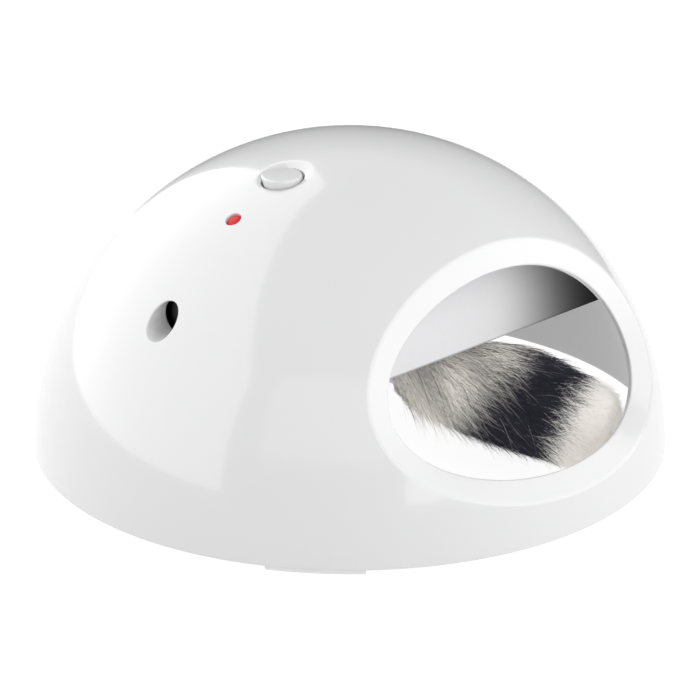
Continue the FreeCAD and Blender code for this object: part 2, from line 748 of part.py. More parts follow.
# Core tray: the deck over the tail's room and the bulkhead that faces the window
def core_tray():
    reach = "dome_radius"
    deck = block("deck_slab", (f"-{reach}", "bulkhead_x"), (f"-{reach}", reach), ("deck_under", DECK_TOP))
    bulkhead = block("bulkhead_slab", ("bulkhead_x - bulkhead_wall", "bulkhead_x"), (f"-{reach}", reach),
                     ("deck_under", "dome_radius"))
    ball = doc.addObject("Part::Sphere", "tray_ball")
    bind(ball, Radius=f"{INNER} - tray_gap")
    turn(ball, (0, 0, 1), "180")
    put(ball, z=CENTRE)
    walls = shared("tray_walls", joined("tray_slabs", deck, bulkhead), ball)

    parts = [walls,
             rod("bush_boss", "bush_radius + bulkhead_wall", (DECK_TOP, f"{GEAR_BASE} - gear_end_gap * 2"))]
    for name, (x, y) in (("b", GEAR_B), ("a", GEAR_A)):
        parts.append(rod(f"pin_boss_{name}", "gear_pin_radius + bulkhead_wall",
                         (DECK_TOP, f"{GEAR_BASE} - gear_end_gap"), x, y))
    for number, (x, y) in enumerate(PILLARS):
        parts.append(rod(f"cover_pillar_{number}", "pillar_radius", (DECK_TOP, "cover_under"), x, y))
    parts.append(rod("pan_motor_seat", "pan_motor_radius", (DECK_TOP, f"{DECK_TOP} + pan_motor_lift"), "0",
                     PAN_Y))
    for side in (-1, 1):
        inner = f"{CELL_X} + {side} * ({DOOR_HALF_X} + door_gap)"
        outer = f"{CELL_X} + {side} * ({DOOR_HALF_X} + door_gap + rail_wall)"
        lip = f"{CELL_X} + {side} * ({DOOR_HALF_X} + door_gap - rail_lip)"
        span = ("-rail_half_length", "rail_half_length")
        foot = f"{DOOR_BOTTOM} - door_gap - rail_wall / 2"
        low, high = (outer, inner) if side < 0 else (inner, outer)
        parts.append(block("door_rail", (low, high), span, (foot, "deck_under")))
        low, high = (outer, lip) if side < 0 else (lip, outer)
        parts.append(block("door_lip", (low, high), span, (foot, f"{DOOR_BOTTOM} - door_gap")))
    parts.append(block("door_stop", (f"{CELL_X} - {DOOR_HALF_X}", f"{CELL_X} + {DOOR_HALF_X}"),
                       (f"-{DOOR_HALF_Y} - door_gap - rail_wall", f"-{DOOR_HALF_Y} - door_gap"),
                       (DOOR_BOTTOM, "deck_under")))
    tray = joined("tray_solids", *parts)

    tools = [rod("bush_bore", "bush_radius", ("deck_under - 1", f"{DECK_TOP} + 2 * gear_floor"))]
    tools.append(block("battery_way", (f"{CELL_X} - {BAY_HALF_X}", f"{CELL_X} + {BAY_HALF_X}"),
                       (f"-{BAY_HALF_Y}", BAY_HALF_Y), ("deck_under - 1", f"{DECK_TOP} + 1")))
    for angle in TRAY_POST_ANGLES:
        tools.append(rod(f"tray_hole_{angle}", "post_screw_radius + pilot_slack",
                         ("deck_under - 1", f"{DECK_TOP} + 1"),
                         f"{POST_CIRCLE} * cos({angle})", f"{POST_CIRCLE} * sin({angle})"))
    for name, (x, y) in (("b", GEAR_B), ("a", GEAR_A)):
        tools.append(rod(f"pin_hole_{name}", "gear_pin_radius", (DECK_TOP, f"{GEAR_BASE} + 1"), x, y))
    for number, (x, y) in enumerate(PILLARS):
        tools.append(rod(f"pillar_pilot_{number}", "gear_pin_radius",
                         ("cover_under - cover_screw_bite - screw_end_gap", "cover_under + 1"), x, y))
    for side in ("-", ""):
        tools.append(rod("bracket_pilot", "gear_pin_radius",
                         (f"{DECK_TOP} - short_screw_bite - pilot_slack", f"{DECK_TOP} + 1"),
                         f"{side}(bracket_foot - pillar_radius)", PIVOT_Y))
    return keep("core_tray", cut("core_tray", tray, *tools))


def tray_screws():
    screws = []
    for angle in TRAY_POST_ANGLES:
        screws.append(screw(f"tray_screw_{angle}", f"{POST_CIRCLE} * cos({angle})",
                            f"{POST_CIRCLE} * sin({angle})",
                            "(deck_under - screw_head)", "deck_wall + post_screw_length - screw_end_gap"))
    keep("tray_screws", group("tray_screws", *screws))


# Battery bay: a roofed box on the deck, three round cells, their contacts and a sliding door
def battery_bay():
    outer = block("bay_outer",
                  (f"{CELL_X} - {BAY_HALF_X} - bay_wall", f"{CELL_X} + {BAY_HALF_X} + bay_wall"),
                  (f"-{BAY_HALF_Y} - bay_wall", f"{BAY_HALF_Y} + bay_wall"),
                  (DECK_TOP, f"{BAY_ROOF} + bay_wall"))
    room = block("bay_room", (f"{CELL_X} - {BAY_HALF_X}", f"{CELL_X} + {BAY_HALF_X}"),
                 (f"-{BAY_HALF_Y}", BAY_HALF_Y),
                 (f"{DECK_TOP} - 1", BAY_ROOF))
    keep("battery_box", cut("battery_box", outer, room))

    plates = {"spring": [], "button": []}
    for number in (-1, 0, 1):
        x = f"{CELL_X} + {number} * cell_pitch"
        way = -1 if number == 0 else 1
        middle = f"{-way} * cell_nub / 2 "
        body = rod_y("cell_body", "cell_radius",
                     (f"{middle} - cell_length / 2", f"{middle} + cell_length / 2"),
                     x, CELL_HEIGHT)
        nub_low, nub_high = sorted((f"{middle} + {way} * cell_length / 2",
                                    f"{middle} + {way} * (cell_length / 2 + cell_nub)"), key=size)
        nub = rod_y("cell_nub", "cell_nub_radius", (nub_low, nub_high), x, CELL_HEIGHT)
        keep(f"battery_cell_{number + 2}", joined("battery_cell", body, nub))

        plate_x = (f"{x} - cell_radius + contact_margin", f"{x} + cell_radius - contact_margin")
        plate_z = (f"{CELL_HEIGHT} - cell_radius / 2", f"{CELL_HEIGHT} + cell_radius / 2")
        for kind, side in (("spring", -way), ("button", way)):
            low, high = sorted((f"{side} * {BAY_HALF_Y}", f"{side} * ({BAY_HALF_Y} - contact_plate)"),
                               key=size)
            plate = block("contact_plate", plate_x, (low, high), plate_z)
            face = f"{middle} + {side} * cell_length / 2"
            if kind == "button":
                face = f"{face} + {side} * cell_nub"
            reach_low, reach_high = sorted((f"{side} * ({BAY_HALF_Y} - contact_plate)", face), key=size)
            nose = rod_y("contact_nose", "cell_nub_radius", (reach_low, reach_high), x, CELL_HEIGHT)
            plates[kind].append(joined("contact", plate, nose))
    keep("battery_springs", group("battery_springs", *plates["spring"]))
    keep("battery_contacts", group("battery_contacts", *plates["button"]))

    door = padded("battery_door", (
        (f"-{DOOR_HALF_X}", f"-{DOOR_HALF_Y}"), (DOOR_HALF_X, f"-{DOOR_HALF_Y}"),
        (DOOR_HALF_X, DOOR_HALF_Y), (f"-{DOOR_HALF_X}", DOOR_HALF_Y)), "door_wall",
        x=CELL_X, z=DOOR_BOTTOM)
    keep("battery_door", door)


# Tail drive: a flat motor, two compound gears and the wheel on the tail's shaft
def tail_drive():
    shaft_top = f"({COVER_TOP} + gear_end_gap * 2)"
    shaft_bottom = "(hub_bottom + shaft_radius)"
    turned("output_shaft", (
        ("0", shaft_bottom), ("shaft_radius - shaft_chamfer", shaft_bottom),
        ("shaft_radius", f"{shaft_bottom} + shaft_chamfer"),
        ("shaft_radius", f"{shaft_top} - shaft_chamfer"),
        ("shaft_radius - shaft_chamfer", shaft_top), ("0", shaft_top)))
    bore = "shaft_radius + shaft_fit"
    turned("shaft_bush_lower", (
        (bore, "deck_under - bush_flange"), ("bush_flange_radius", "deck_under - bush_flange"),
        ("bush_flange_radius", "deck_under"), ("bush_radius", "deck_under"),
        ("bush_radius", f"{GEAR_BASE} - gear_end_gap"), (bore, f"{GEAR_BASE} - gear_end_gap")))
    turned("shaft_bush_upper", (
        (bore, "cover_under - bush_flange / 2"), ("bush_flange_radius", "cover_under - bush_flange / 2"),
        ("bush_flange_radius", "cover_under"), ("bush_radius", "cover_under"),
        ("bush_radius", COVER_TOP), (bore, COVER_TOP)))

    origin = ("0", "0")
    wheel, pinion = size("wheel_teeth"), size("pinion_teeth")
    slow, fast = size("slow_module"), size("fast_module")
    slow_face, fast_face = size("slow_face"), size("fast_face")
    sleeve, pin_bore = size("gear_sleeve_radius"), size("gear_pin_radius + gear_pin_fit")
    base, wheel_base, fast_base = size(GEAR_BASE), size(WHEEL_BASE), size(FAST_BASE)
    ceiling = size("cover_under - gear_end_gap")
    gap = size("gear_end_gap")

    hub_radius = size("bush_flange_radius")
    output = gear_solid(size("slow_wheel_teeth"), slow, direction(origin, GEAR_B), base, slow_face)
    output = output.fuse(upright(hub_radius, base, size("cover_under - bush_flange / 2 - gear_end_gap")))
    output = output.cut(upright(size("shaft_radius"), base - 1, ceiling + 1))
    keep("output_gear", made("output_gear", output.removeSplitter()))

    def gap_phase(here, other, teeth):
        """The phase that puts a gap, not a tooth, towards the other axis."""
        return direction(here, other) + 180 / teeth

    gear_b = gear_solid(pinion, slow, gap_phase(GEAR_B, origin, pinion), base, wheel_base - base + 0.1)
    gear_b = gear_b.fuse(gear_solid(wheel, fast, direction(GEAR_B, GEAR_A), wheel_base, fast_face))
    gear_b = gear_b.fuse(upright(sleeve, base, ceiling)).cut(upright(pin_bore, base - 1, ceiling + 1))
    keep("compound_gear_b", made("compound_gear_b", gear_b.removeSplitter(), plan(GEAR_B)))

    gear_a = gear_solid(pinion, fast, gap_phase(GEAR_A, GEAR_B, pinion), wheel_base,
                        fast_base - wheel_base + 0.1)
    gear_a = gear_a.fuse(gear_solid(wheel, fast, direction(GEAR_A, MOTOR), fast_base, fast_face))
    gear_a = gear_a.fuse(upright(sleeve, base, ceiling)).cut(upright(pin_bore, base - 1, ceiling + 1))
    keep("compound_gear_a", made("compound_gear_a", gear_a.removeSplitter(), plan(GEAR_A)))

    motor_pinion = gear_solid(pinion, fast, gap_phase(MOTOR, GEAR_A, pinion), fast_base - gap,
                              fast_face + 2 * gap)
    motor_pinion = motor_pinion.cut(upright(size("motor_shaft_radius"), fast_base - 1, ceiling))
    keep("motor_pinion", made("motor_pinion", motor_pinion, plan(MOTOR)))
    keep("motor_shaft", rod("motor_shaft", "motor_shaft_radius",
                            (f"{FAST_BASE} - gear_end_gap", f"{COVER_TOP} + motor_length / 2"), *MOTOR))

    pins = [rod(f"gear_pin_{name}", "gear_pin_radius", (DECK_TOP, COVER_TOP), x, y)
            for name, (x, y) in (("b", GEAR_B), ("a", GEAR_A))]
    keep("gear_pins", group("gear_pins", *pins))


def plan(axis):
    return FreeCAD.Placement(FreeCAD.Vector(size(axis[0]), size(axis[1]), 0), FreeCAD.Rotation())


def gear_cover():
    margin = "pillar_radius"
    (x0, y0), (x1, y1), (x2, y2), (x3, y3) = PILLARS
    plate = padded("gear_cover_plate", (
        (f"{x0} - {margin}", f"{y0} - {margin}"), (f"-({x0}) * 0.4", f"{y0} - {margin}"),
        (f"{x2} + {margin}", f"{y2} - {margin}"), (f"{x3} + {margin} + 1", f"{y3} + {margin}"),
        (f"{x3} - 2 * {margin}", f"{y3} + {margin}"), (f"{x1}", f"{y3} + {margin}"),
        (f"{x1} - {margin}", f"{y1}")), "cover_wall", z="cover_under")
    tools = [rod("cover_bush_bore", "bush_radius", ("cover_under - 1", f"{COVER_TOP} + 1"))]
    tools.append(rod("cover_motor_bore", "motor_boss_radius + gear_end_gap",
                     ("cover_under - 1", f"{COVER_TOP} + 1"),
                     *MOTOR))
    for x, y in (GEAR_B, GEAR_A):
        tools.append(rod("cover_pin_hole", "gear_pin_radius", ("cover_under - 1", f"{COVER_TOP} + 1"), x,
                         y))
    for x, y in PILLARS:
        tools.append(rod("cover_screw_hole", "post_screw_radius", ("cover_under - 1", f"{COVER_TOP} + 1"),
                         x, y))
    for side in ("-", "+"):
        tools.append(rod("cover_motor_screw_hole", "gear_pin_radius",
                         ("cover_under - 1", f"{COVER_TOP} + 1"),
                         f"{MOTOR[0]} {side} motor_hole_offset", MOTOR[1]))
    keep("gear_cover", cut("gear_cover", plate, *tools))
    keep("cover_screws", group("cover_screws", *[
        screw_down("cover_screw", x, y, COVER_TOP, "cover_wall + cover_screw_bite", "gear_pin_radius")
        for x, y in PILLARS]))


def tail_motor():
    can = rod("motor_body", "motor_radius", (COVER_TOP, f"{COVER_TOP} + motor_length"), *MOTOR)
    boss = rod("motor_nose", "motor_boss_radius", (f"{COVER_TOP} - motor_boss", COVER_TOP), *MOTOR)
    tools = [rod("motor_core", "motor_shaft_radius + shaft_fit",
                 (f"{COVER_TOP} - motor_boss - 1", f"{COVER_TOP} + motor_length / 2 + gear_end_gap"),
                 *MOTOR)]
    for side in ("-", "+"):
        tools.append(rod("motor_thread", "gear_pin_radius",
                         (f"{COVER_TOP} - 1", f"{COVER_TOP} + short_screw_bite + pilot_slack"),
                         f"{MOTOR[0]} {side} motor_hole_offset", MOTOR[1]))
    keep("tail_motor", cut("tail_motor", joined("motor_can", can, boss), *tools))
    cap_base = f"{COVER_TOP} + motor_length"
    keep("motor_end_cap", rod("motor_end_cap", "motor_radius - motor_cap_step",
                              (cap_base, f"{cap_base} + motor_cap"), *MOTOR))
    keep("motor_terminals", group("motor_terminals", *[
        block("motor_terminal", (f"{MOTOR[0]} {side} terminal_offset - terminal_half_width",
                                 f"{MOTOR[0]} {side} terminal_offset + terminal_half_width"),
              (f"{MOTOR[1]} - terminal_half_wall", f"{MOTOR[1]} + terminal_half_wall"),
              (f"{cap_base} + motor_cap", f"{cap_base} + motor_cap + terminal_length"))
        for side in ("-", "+")]))
    keep("motor_screws", group("motor_screws", *[
        screw("motor_screw", f"{MOTOR[0]} {side} motor_hole_offset", MOTOR[1],
              "cover_under - screw_head", "cover_wall + short_screw_bite", "gear_pin_radius")
        for side in ("-", "+")]))


# Rotor: the hub under the deck that carries the tail
def rotor():
    disc_under = f"({HUB_TOP} - hub_disc_wall)"
    turned("hub_turned", (
        ("0", "hub_bottom"), ("hub_radius - hub_chamfer", "hub_bottom"),
        ("hub_radius", "hub_bottom + hub_chamfer"), ("hub_radius", f"{disc_under} - hub_cove"),
        ("hub_radius + hub_cove", disc_under), ("hub_disc_radius - hub_disc_chamfer", disc_under),
        ("hub_disc_radius", f"{disc_under} + hub_disc_chamfer"), ("hub_disc_radius", HUB_TOP),
        ("0", HUB_TOP)))
    body = pieces.pop("hub_turned")
    along = ("tail_angle", "tail_height", "tail_drop")
    socket = rod_out("hub_socket", "socket_radius", ("0", "tail_root - fur_gap"), *along)
    screw_place = ("tail_angle + 180", f"{disc_under} - hub_screw_drop")
    tools = [
        rod("hub_shaft_bore", "shaft_radius", ("hub_bottom + shaft_radius", f"{HUB_TOP} + 1")),
        rod_out("hub_socket_bore", "tail_core_radius", ("tail_core_start", "tail_root + 1"), *along),
        rod_out("hub_screw_hole", "post_screw_radius", ("shaft_radius / 2", "hub_radius + 1"),
                *screw_place),
    ]
    keep("rotor_hub", cut("rotor_hub", joined("hub_solids", body, socket), *tools))
    keep("hub_screw",
         rod_out("hub_screw", "post_screw_radius", ("shaft_radius", "hub_radius"), *screw_place))
    keep("tail_core", rod_out("tail_core", "tail_core_radius", ("tail_core_start", TAIL_CORE_END), *along))
    ring = rod_out("collar_ring", "collar_radius", ("tail_root", "tail_root + collar_length"), *along)
    bore = rod_out("collar_bore", "tail_core_radius", ("tail_root - 1", "tail_root + collar_length + 1"),
                   *along)
    keep("tail_collar", cut("tail_collar", ring, bore))


def fur_tail():
    """The tail's fur sleeve: a soft spindle with a closed bore for the core and collar."""
    root, tip = size("tail_root"), size(TAIL_TIP)
    full, slim = size("tail_radius"), size("tail_root_radius")
    gap = size("fur_gap")
    length = tip - root
    stations = ((0.9, 0.22), (1.0, 0.5), (0.95, 0.75))
    points = [(slim, root)] + [(full * swell, root + length * share) for swell,
                               share in stations] + [(0, tip)]
    outline = Part.BSplineCurve()
    outline.interpolate(Points=[FreeCAD.Vector(r, 0, along) for r, along in points],
                        InitialTangent=FreeCAD.Vector(0.35, 0, 1), FinalTangent=FreeCAD.Vector(-1, 0, 0))
    core, collar = size("tail_core_radius") + gap, size("collar_radius") + gap
    collar_end, core_end = size("tail_root + collar_length") + gap, size(TAIL_CORE_END) + gap
    bore = [(slim, root), (collar, root), (collar, collar_end), (core, collar_end), (core, core_end),
            (0, core_end),
            (0, tip)]
    edges = [outline.toShape()]
    corners = [FreeCAD.Vector(r, 0, along) for r, along in bore]
    edges += [Part.makeLine(start, end) for start, end in zip(corners, corners[1:])]
    profile = Part.Face(Part.Wire(Part.sortEdges(edges)[0]))
    solid = profile.revolve(FreeCAD.Vector(), FreeCAD.Vector(0, 0, 1), 360)
    place = FreeCAD.Placement(FreeCAD.Vector(0, 0, size("tail_height")), outward("tail_angle", "tail_drop"))
    keep("fur_tail", made("fur_tail", solid, place))


# Laser head: a barrel in a cradle that swings on upright pins, turned by a toothed sector
def laser_head():
    half, tall = "cradle_half_width", "cradle_half_height"
    low, high = f"{LASER_HEIGHT} - {tall}", f"{LASER_HEIGHT} + {tall}"
    front, back = f"{PIVOT_Y} - cradle_front", f"{PIVOT_Y} + cradle_back"
    sector_z = (SECTOR_Z, f"{SECTOR_Z} + sector_face")
    tooth_root = "(pan_sector_teeth * pan_module / 2 - pan_module)"
    parts = [block("cradle_block", (f"-{half}", half), (front, back), (low, high))]
    for side in (-1, 1):
        x_low, x_high = sorted((f"{side} * {half}", f"{side} * ({half} - arm_wall)"), key=size)
        parts.append(block("cradle_arm", (x_low, x_high),
                           (f"{back} - 1", f"{PIVOT_Y} + {tooth_root} - sector_ring + 2"), sector_z))
    teeth = gear_solid(size("pan_sector_teeth"), size("pan_module"), 90, 0, size("sector_face"))
    wheel = made("sector_wheel", teeth, FreeCAD.Placement(
        FreeCAD.Vector(0, size(PIVOT_Y), size(SECTOR_Z)), FreeCAD.Rotation()))
    window = block("sector_window", ("-sector_half_width", "sector_half_width"),
                   (f"{PIVOT_Y} + cradle_back + 1", PAN_Y), sector_z)
    eye = rod("sector_eye", f"{tooth_root} - sector_ring", sector_z, "0", PIVOT_Y)
    parts.append(cut("sector", shared("sector_slice", wheel, window), eye))
    cradle = joined("cradle_solids", *parts)
    tools = [rod_y("cradle_bore", "barrel_radius", (f"{front} - 1", f"{back} + 1"), z=LASER_HEIGHT)]
    for bottom, top in ((f"{high} - pivot_pin_seat", f"{high} + 1"),
                        (f"{low} - 1", f"{low} + pivot_pin_seat")):
        tools.append(rod("pivot_seat", "pivot_pin_radius", (bottom, top), "0", PIVOT_Y))
    keep("laser_cradle", cut("laser_cradle", cradle, *tools))

    tube = rod_y("barrel_tube", "barrel_radius", (BARREL_FACE, f"{BARREL_FACE} + barrel_length"),
                 z=LASER_HEIGHT)
    seat = rod_y("barrel_seat", "lens_radius",
                 (f"{BARREL_FACE} - 1", f"{BARREL_FACE} + lens_recess + lens_wall"),
                 z=LASER_HEIGHT)
    keep("laser_barrel", cut("laser_barrel", tube, seat))
    keep("laser_lens", rod_y("laser_lens", "lens_radius",
                             (f"{BARREL_FACE} + lens_recess", f"{BARREL_FACE} + lens_recess + lens_wall"),
                             z=LASER_HEIGHT))

    bar_low = f"({high} + bracket_gap)"
    bar_high = f"({bar_low} + bracket_wall)"
    foot_top = f"({DECK_TOP} + bracket_wall)"
    pins = [
        rod("pivot_pin_upper", "pivot_pin_radius", (f"{high} - pivot_pin_seat", bar_high), "0", PIVOT_Y),
        rod("pivot_pin_lower", "pivot_pin_radius",
            (f"{foot_top} + bracket_post_gap", f"{low} + pivot_pin_seat"), "0",
            PIVOT_Y),
    ]
    keep("laser_pivot_pins", group("laser_pivot_pins", *pins))

    y = (f"{PIVOT_Y} - bracket_front", f"{PIVOT_Y} + bracket_back")
    x_out, x_in = "bracket_half_width", "bracket_half_width - bracket_wall"
    parts = [block("bracket_base", ("-bracket_foot", "bracket_foot"),
                   (f"{PIVOT_Y} - bracket_back", f"{PIVOT_Y} + bracket_back"), (DECK_TOP, foot_top)),
             block("bracket_bar", (f"-({x_out})", x_out), y, (bar_low, bar_high)),
             block("bracket_web_left", (f"-({x_out})", f"-({x_in})"), y, (DECK_TOP, bar_high)),
             block("bracket_web_right", (x_in, x_out), y, (DECK_TOP, bar_high)),
             rod("bracket_post", "pivot_pin_radius + bracket_wall", (DECK_TOP, f"{low} - bracket_gap"), "0",
                 PIVOT_Y)]
    tools = [rod("bracket_upper_bore", "pivot_pin_radius + shaft_fit",
                 (f"{bar_low} - 1", f"{bar_high} + 1"), "0",
                 PIVOT_Y),
             rod("bracket_lower_bore", "pivot_pin_radius + shaft_fit",
                 (f"{foot_top} + bracket_post_gap - gear_end_gap", f"{low} + 1"), "0", PIVOT_Y)]
    screws = []
    for side in ("-", ""):
        x = f"{side}(bracket_foot - pillar_radius)"
        tools.append(rod("bracket_hole", "gear_pin_radius + pilot_slack",
                         (f"{DECK_TOP} - 1", f"{foot_top} + 1"), x,
                         PIVOT_Y))
        screws.append(screw_down("bracket_screw", x, PIVOT_Y, foot_top, "bracket_wall + short_screw_bite",
                                 "gear_pin_radius", "screw_head_radius - 0.6"))
    keep("laser_bracket", cut("laser_bracket", joined("bracket_solids", *parts), *tools))
    keep("bracket_screws", group("bracket_screws", *screws))


def pan_drive():
    can_base = f"({DECK_TOP} + pan_motor_lift)"
    can = rod("pan_motor_can", "pan_motor_radius", (can_base, GEARHEAD_BASE), "0", PAN_Y)
    keep("pan_motor", can)
    box = block("gearhead_box", ("-gearhead_half_width", "gearhead_half_width"),
                (f"{PAN_Y} - gearhead_half_depth", f"{PAN_Y} + gearhead_half_depth"),
                (GEARHEAD_BASE, GEARHEAD_TOP))
    bore = rod("gearhead_bore", "gear_pin_radius + shaft_fit",
               (f"{GEARHEAD_BASE} + gearhead_floor", f"{GEARHEAD_TOP} + 1"), "0", PAN_Y)
    keep("pan_gearhead", cut("pan_gearhead", box, bore))
    shaft_base = f"{GEARHEAD_BASE} + gearhead_floor + gear_end_gap"
    shaft_top = f"{SECTOR_Z} + sector_face + pan_shaft_proud"
    keep("pan_shaft", rod("pan_shaft", "gear_pin_radius", (shaft_base, shaft_top), "0", PAN_Y))
    teeth = size("pan_pinion_teeth")
    gap = size("gear_end_gap")
    pinion = gear_solid(teeth, size("pan_module"), -90 + 180 / teeth, size(SECTOR_Z) - gap,
                        size("sector_face") + 2 * gap)
    pinion = pinion.cut(upright(size("gear_pin_radius"), size(SECTOR_Z) - 2 * gap,
                                size(SECTOR_Z) + size("sector_face") + 2 * gap))
    keep("pan_pinion", made("pan_pinion", pinion, plan(("0", PAN_Y))))

    reach = "(pan_motor_radius + clip_wall)"
    ring = joined("clip_solids",
                  rod("clip_ring", reach, (DECK_TOP, f"{DECK_TOP} + clip_height"), "0", PAN_Y),
                  block("clip_feet", (f"-{reach} - clip_foot", f"{reach} + clip_foot"),
                        (f"{PAN_Y} - clip_half_width", f"{PAN_Y} + clip_half_width"),
                        (DECK_TOP, f"{DECK_TOP} + clip_wall")))
    bore = rod("clip_bore", "pan_motor_radius + clip_fit",
               (f"{DECK_TOP} - 1", f"{DECK_TOP} + clip_height + 1"),
               "0", PAN_Y)
    keep("pan_motor_clip", cut("pan_motor_clip", ring, bore))


# Control board under the dome: switch, indicator and controller
def controls():
    lean = BUTTON_LEAN
    low = f"{BOARD_TOP} - board_wall"
    board = block_leaning("board_plate", ("-board_half_width", "board_half_width"),
                          ("-board_down", "board_up"),
                          (low, BOARD_TOP), lean)
    holes = [rod_leaning("board_hole", "gear_pin_radius + pilot_slack", (f"{low} - 1", f"{BOARD_TOP} + 1"),
                         lean,
                         side + "board_post_x", "-board_post_y") for side in ("-", "")]
    keep("control_board", cut("control_board", board, *holes))
    screws = []
    for side in ("-", ""):
        x = side + "board_post_x"
        head = rod_leaning("board_screw_head", "screw_head_radius - 0.6", (f"{low} - screw_head", low),
                           lean, x,
                           "-board_post_y")
        shank = rod_leaning("board_screw_shank", "gear_pin_radius",
                            (low, f"{BOARD_TOP} + board_pilot_depth - screw_end_gap"), lean, x,
                            "-board_post_y")
        screws.append(joined("board_screw", head, shank))
    keep("board_screws", group("board_screws", *screws))
    for label in ("chip", "connector"):
        x = "connector_x" if label == "connector" else "0"
        name = "board_connector" if label == "connector" else "controller_chip"
        keep(name, block_leaning(name, (f"{x} - {label}_half_width", f"{x} + {label}_half_width"),
                                 (f"{label}_y - {label}_half_length", f"{label}_y + {label}_half_length"),
                                 (f"{low} - {label}_height", low), lean))
    keep("board_capacitor",
         rod_leaning("board_capacitor", "capacitor_radius", (f"{low} - capacitor_length", low),
                                        lean, "capacitor_x", "capacitor_y"))

    switch_top = f"({BOARD_TOP} + switch_body)"
    plunger_top = f"({BUTTON_STOP} - button_flange - gear_end_gap)"
    body = block_leaning("switch_case", ("-switch_half", "switch_half"), ("-switch_half", "switch_half"),
                         (BOARD_TOP, switch_top), lean)
    well = rod_leaning("switch_well", "plunger_radius + shaft_fit",
                       (f"{BOARD_TOP} + switch_floor", f"{switch_top} + 1"), lean)
    keep("power_switch", cut("power_switch", body, well))
    keep("switch_plunger", rod_leaning("switch_plunger", "plunger_radius",
                                       (f"{BOARD_TOP} + switch_floor + pilot_slack + button_travel",
                                        plunger_top),
                                       lean))

    flange_top = f"({BUTTON_STOP} - button_seat_gap)"
    flange_low = f"({flange_top} - button_flange)"
    column = oval_leaning("cap_column", "button_half_width", "button_half_length",
                          (flange_low, "dome_radius + button_crown + button_half_length"), lean)
    flange = oval_leaning("cap_flange", "button_half_width + button_flange_margin + button_gap",
                          "button_half_length + button_flange_margin + button_gap",
                          (flange_low, flange_top), lean)
    crown = doc.addObject("Part::Sphere", "cap_crown")
    bind(crown, Radius="dome_radius")
    put(crown, y=f"-dome_radius * sin({lean})",
        z=f"{CENTRE} + button_crown - dome_radius * (1 - cos({lean}))")
    keep("button_cap", shared("button_cap", joined("cap_solids", column, flange), crown))

    tip = rod_leaning("led_tube", "led_radius", (f"{LED_BASE} + led_flange", f"{LED_TIP} - led_radius"),
                      LED_LEAN)
    dome = doc.addObject("Part::Sphere", "led_dome")
    bind(dome, Radius="led_radius")
    place_leaning(dome, f"{LED_TIP} - led_radius", LED_LEAN)
    flange = rod_leaning("led_flange_disc", "led_flange_radius", (LED_BASE, f"{LED_BASE} + led_flange"),
                         LED_LEAN)
    keep("indicator_led", joined("indicator_led", tip, dome, flange))


dome_shell()
feet()
core_tray()
tray_screws()
battery_bay()
tail_drive()
gear_cover()
tail_motor()
rotor()
fur_tail()
laser_head()
pan_drive()
controls()
doc.recompute()

# Every object is sound before anything is written
for item in doc.Objects:
    if "Invalid" in item.State or "Error" in item.State:
        raise RuntimeError(f"{item.Name} failed: {item.State}")
for label, piece in pieces.items():
    if piece.Shape.isNull() or not piece.Shape.isValid():
        raise RuntimeError(f"{label} is not a sound solid")
for label, piece in pieces.items():
    piece.Shape.exportStep(f"parts/{label}.step")
    print(label, len(piece.Shape.Solids), round(piece.Shape.Volume, 1))
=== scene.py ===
import json
import math

import bmesh
import bpy
import numpy as np
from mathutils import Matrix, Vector


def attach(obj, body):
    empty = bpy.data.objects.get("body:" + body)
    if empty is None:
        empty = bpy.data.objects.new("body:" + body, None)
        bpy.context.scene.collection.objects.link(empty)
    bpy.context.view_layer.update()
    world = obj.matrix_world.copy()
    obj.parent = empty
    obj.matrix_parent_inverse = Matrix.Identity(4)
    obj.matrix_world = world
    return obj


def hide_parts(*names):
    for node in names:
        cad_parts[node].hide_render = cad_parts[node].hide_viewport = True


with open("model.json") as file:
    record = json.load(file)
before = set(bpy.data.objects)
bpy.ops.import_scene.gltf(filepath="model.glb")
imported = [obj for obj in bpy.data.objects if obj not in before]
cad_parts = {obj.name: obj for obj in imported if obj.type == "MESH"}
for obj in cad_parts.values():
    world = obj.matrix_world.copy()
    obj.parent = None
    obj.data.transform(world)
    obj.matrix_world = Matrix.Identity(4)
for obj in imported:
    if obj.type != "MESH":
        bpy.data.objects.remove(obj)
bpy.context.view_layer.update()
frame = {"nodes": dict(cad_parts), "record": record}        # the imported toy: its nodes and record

MM = 0.001

# The dome and what is cut into it, in metres and radians
DOME_RADIUS = 120 * MM
DOME_WALL = 2.4 * MM
DOME_CENTRE = Vector((0, 0, 0.1 * MM))
RIM_HEIGHT = 3 * MM
RIM_ROUND = 0.6 * MM
WINDOW_TILT = math.radians(31.6)
WINDOW_OUTER = (69.4 * MM, 46.9 * MM)
WINDOW_INNER = (60.2 * MM, 37.3 * MM)
WINDOW_RECESS = 5.6 * MM
WINDOW_EDGE_ROUND = 3 * MM
LIP_ROUND = 0.5 * MM
PORT_HEIGHT = 74.8 * MM
PORT_RADIUS = 6.2 * MM
PORT_END = 86.3 * MM
PORT_BOSS = 7.8 * MM
PORT_EDGE_ROUND = 0.5 * MM
PORT_REACH = math.radians(7)
BUTTON_ELEVATION = math.radians(73.3)
BUTTON_HALF = (7.4 * MM, 7.2 * MM)
BUTTON_GAP = 0.8 * MM
BUTTON_CROWN = 1.1 * MM
BUTTON_SLOPE = 0.26
BUTTON_STOP = 114.7 * MM
BUTTON_PAD = 13 * MM
BUTTON_REACH = math.radians(9.5)
DISH_DEPTH = 1.7 * MM
DISH_FLAT = 5.5 * MM
DISH_RADIUS = 11 * MM
DISH_SHIFT = 1 * MM
LED_ELEVATION = math.radians(60.8)
LED_HOLE = 3.0 * MM
LED_BOSS = 4.6 * MM
LED_BOSS_END = 113 * MM
LED_REACH = math.radians(3.4)
HOLE_EDGE_ROUND = 0.3 * MM

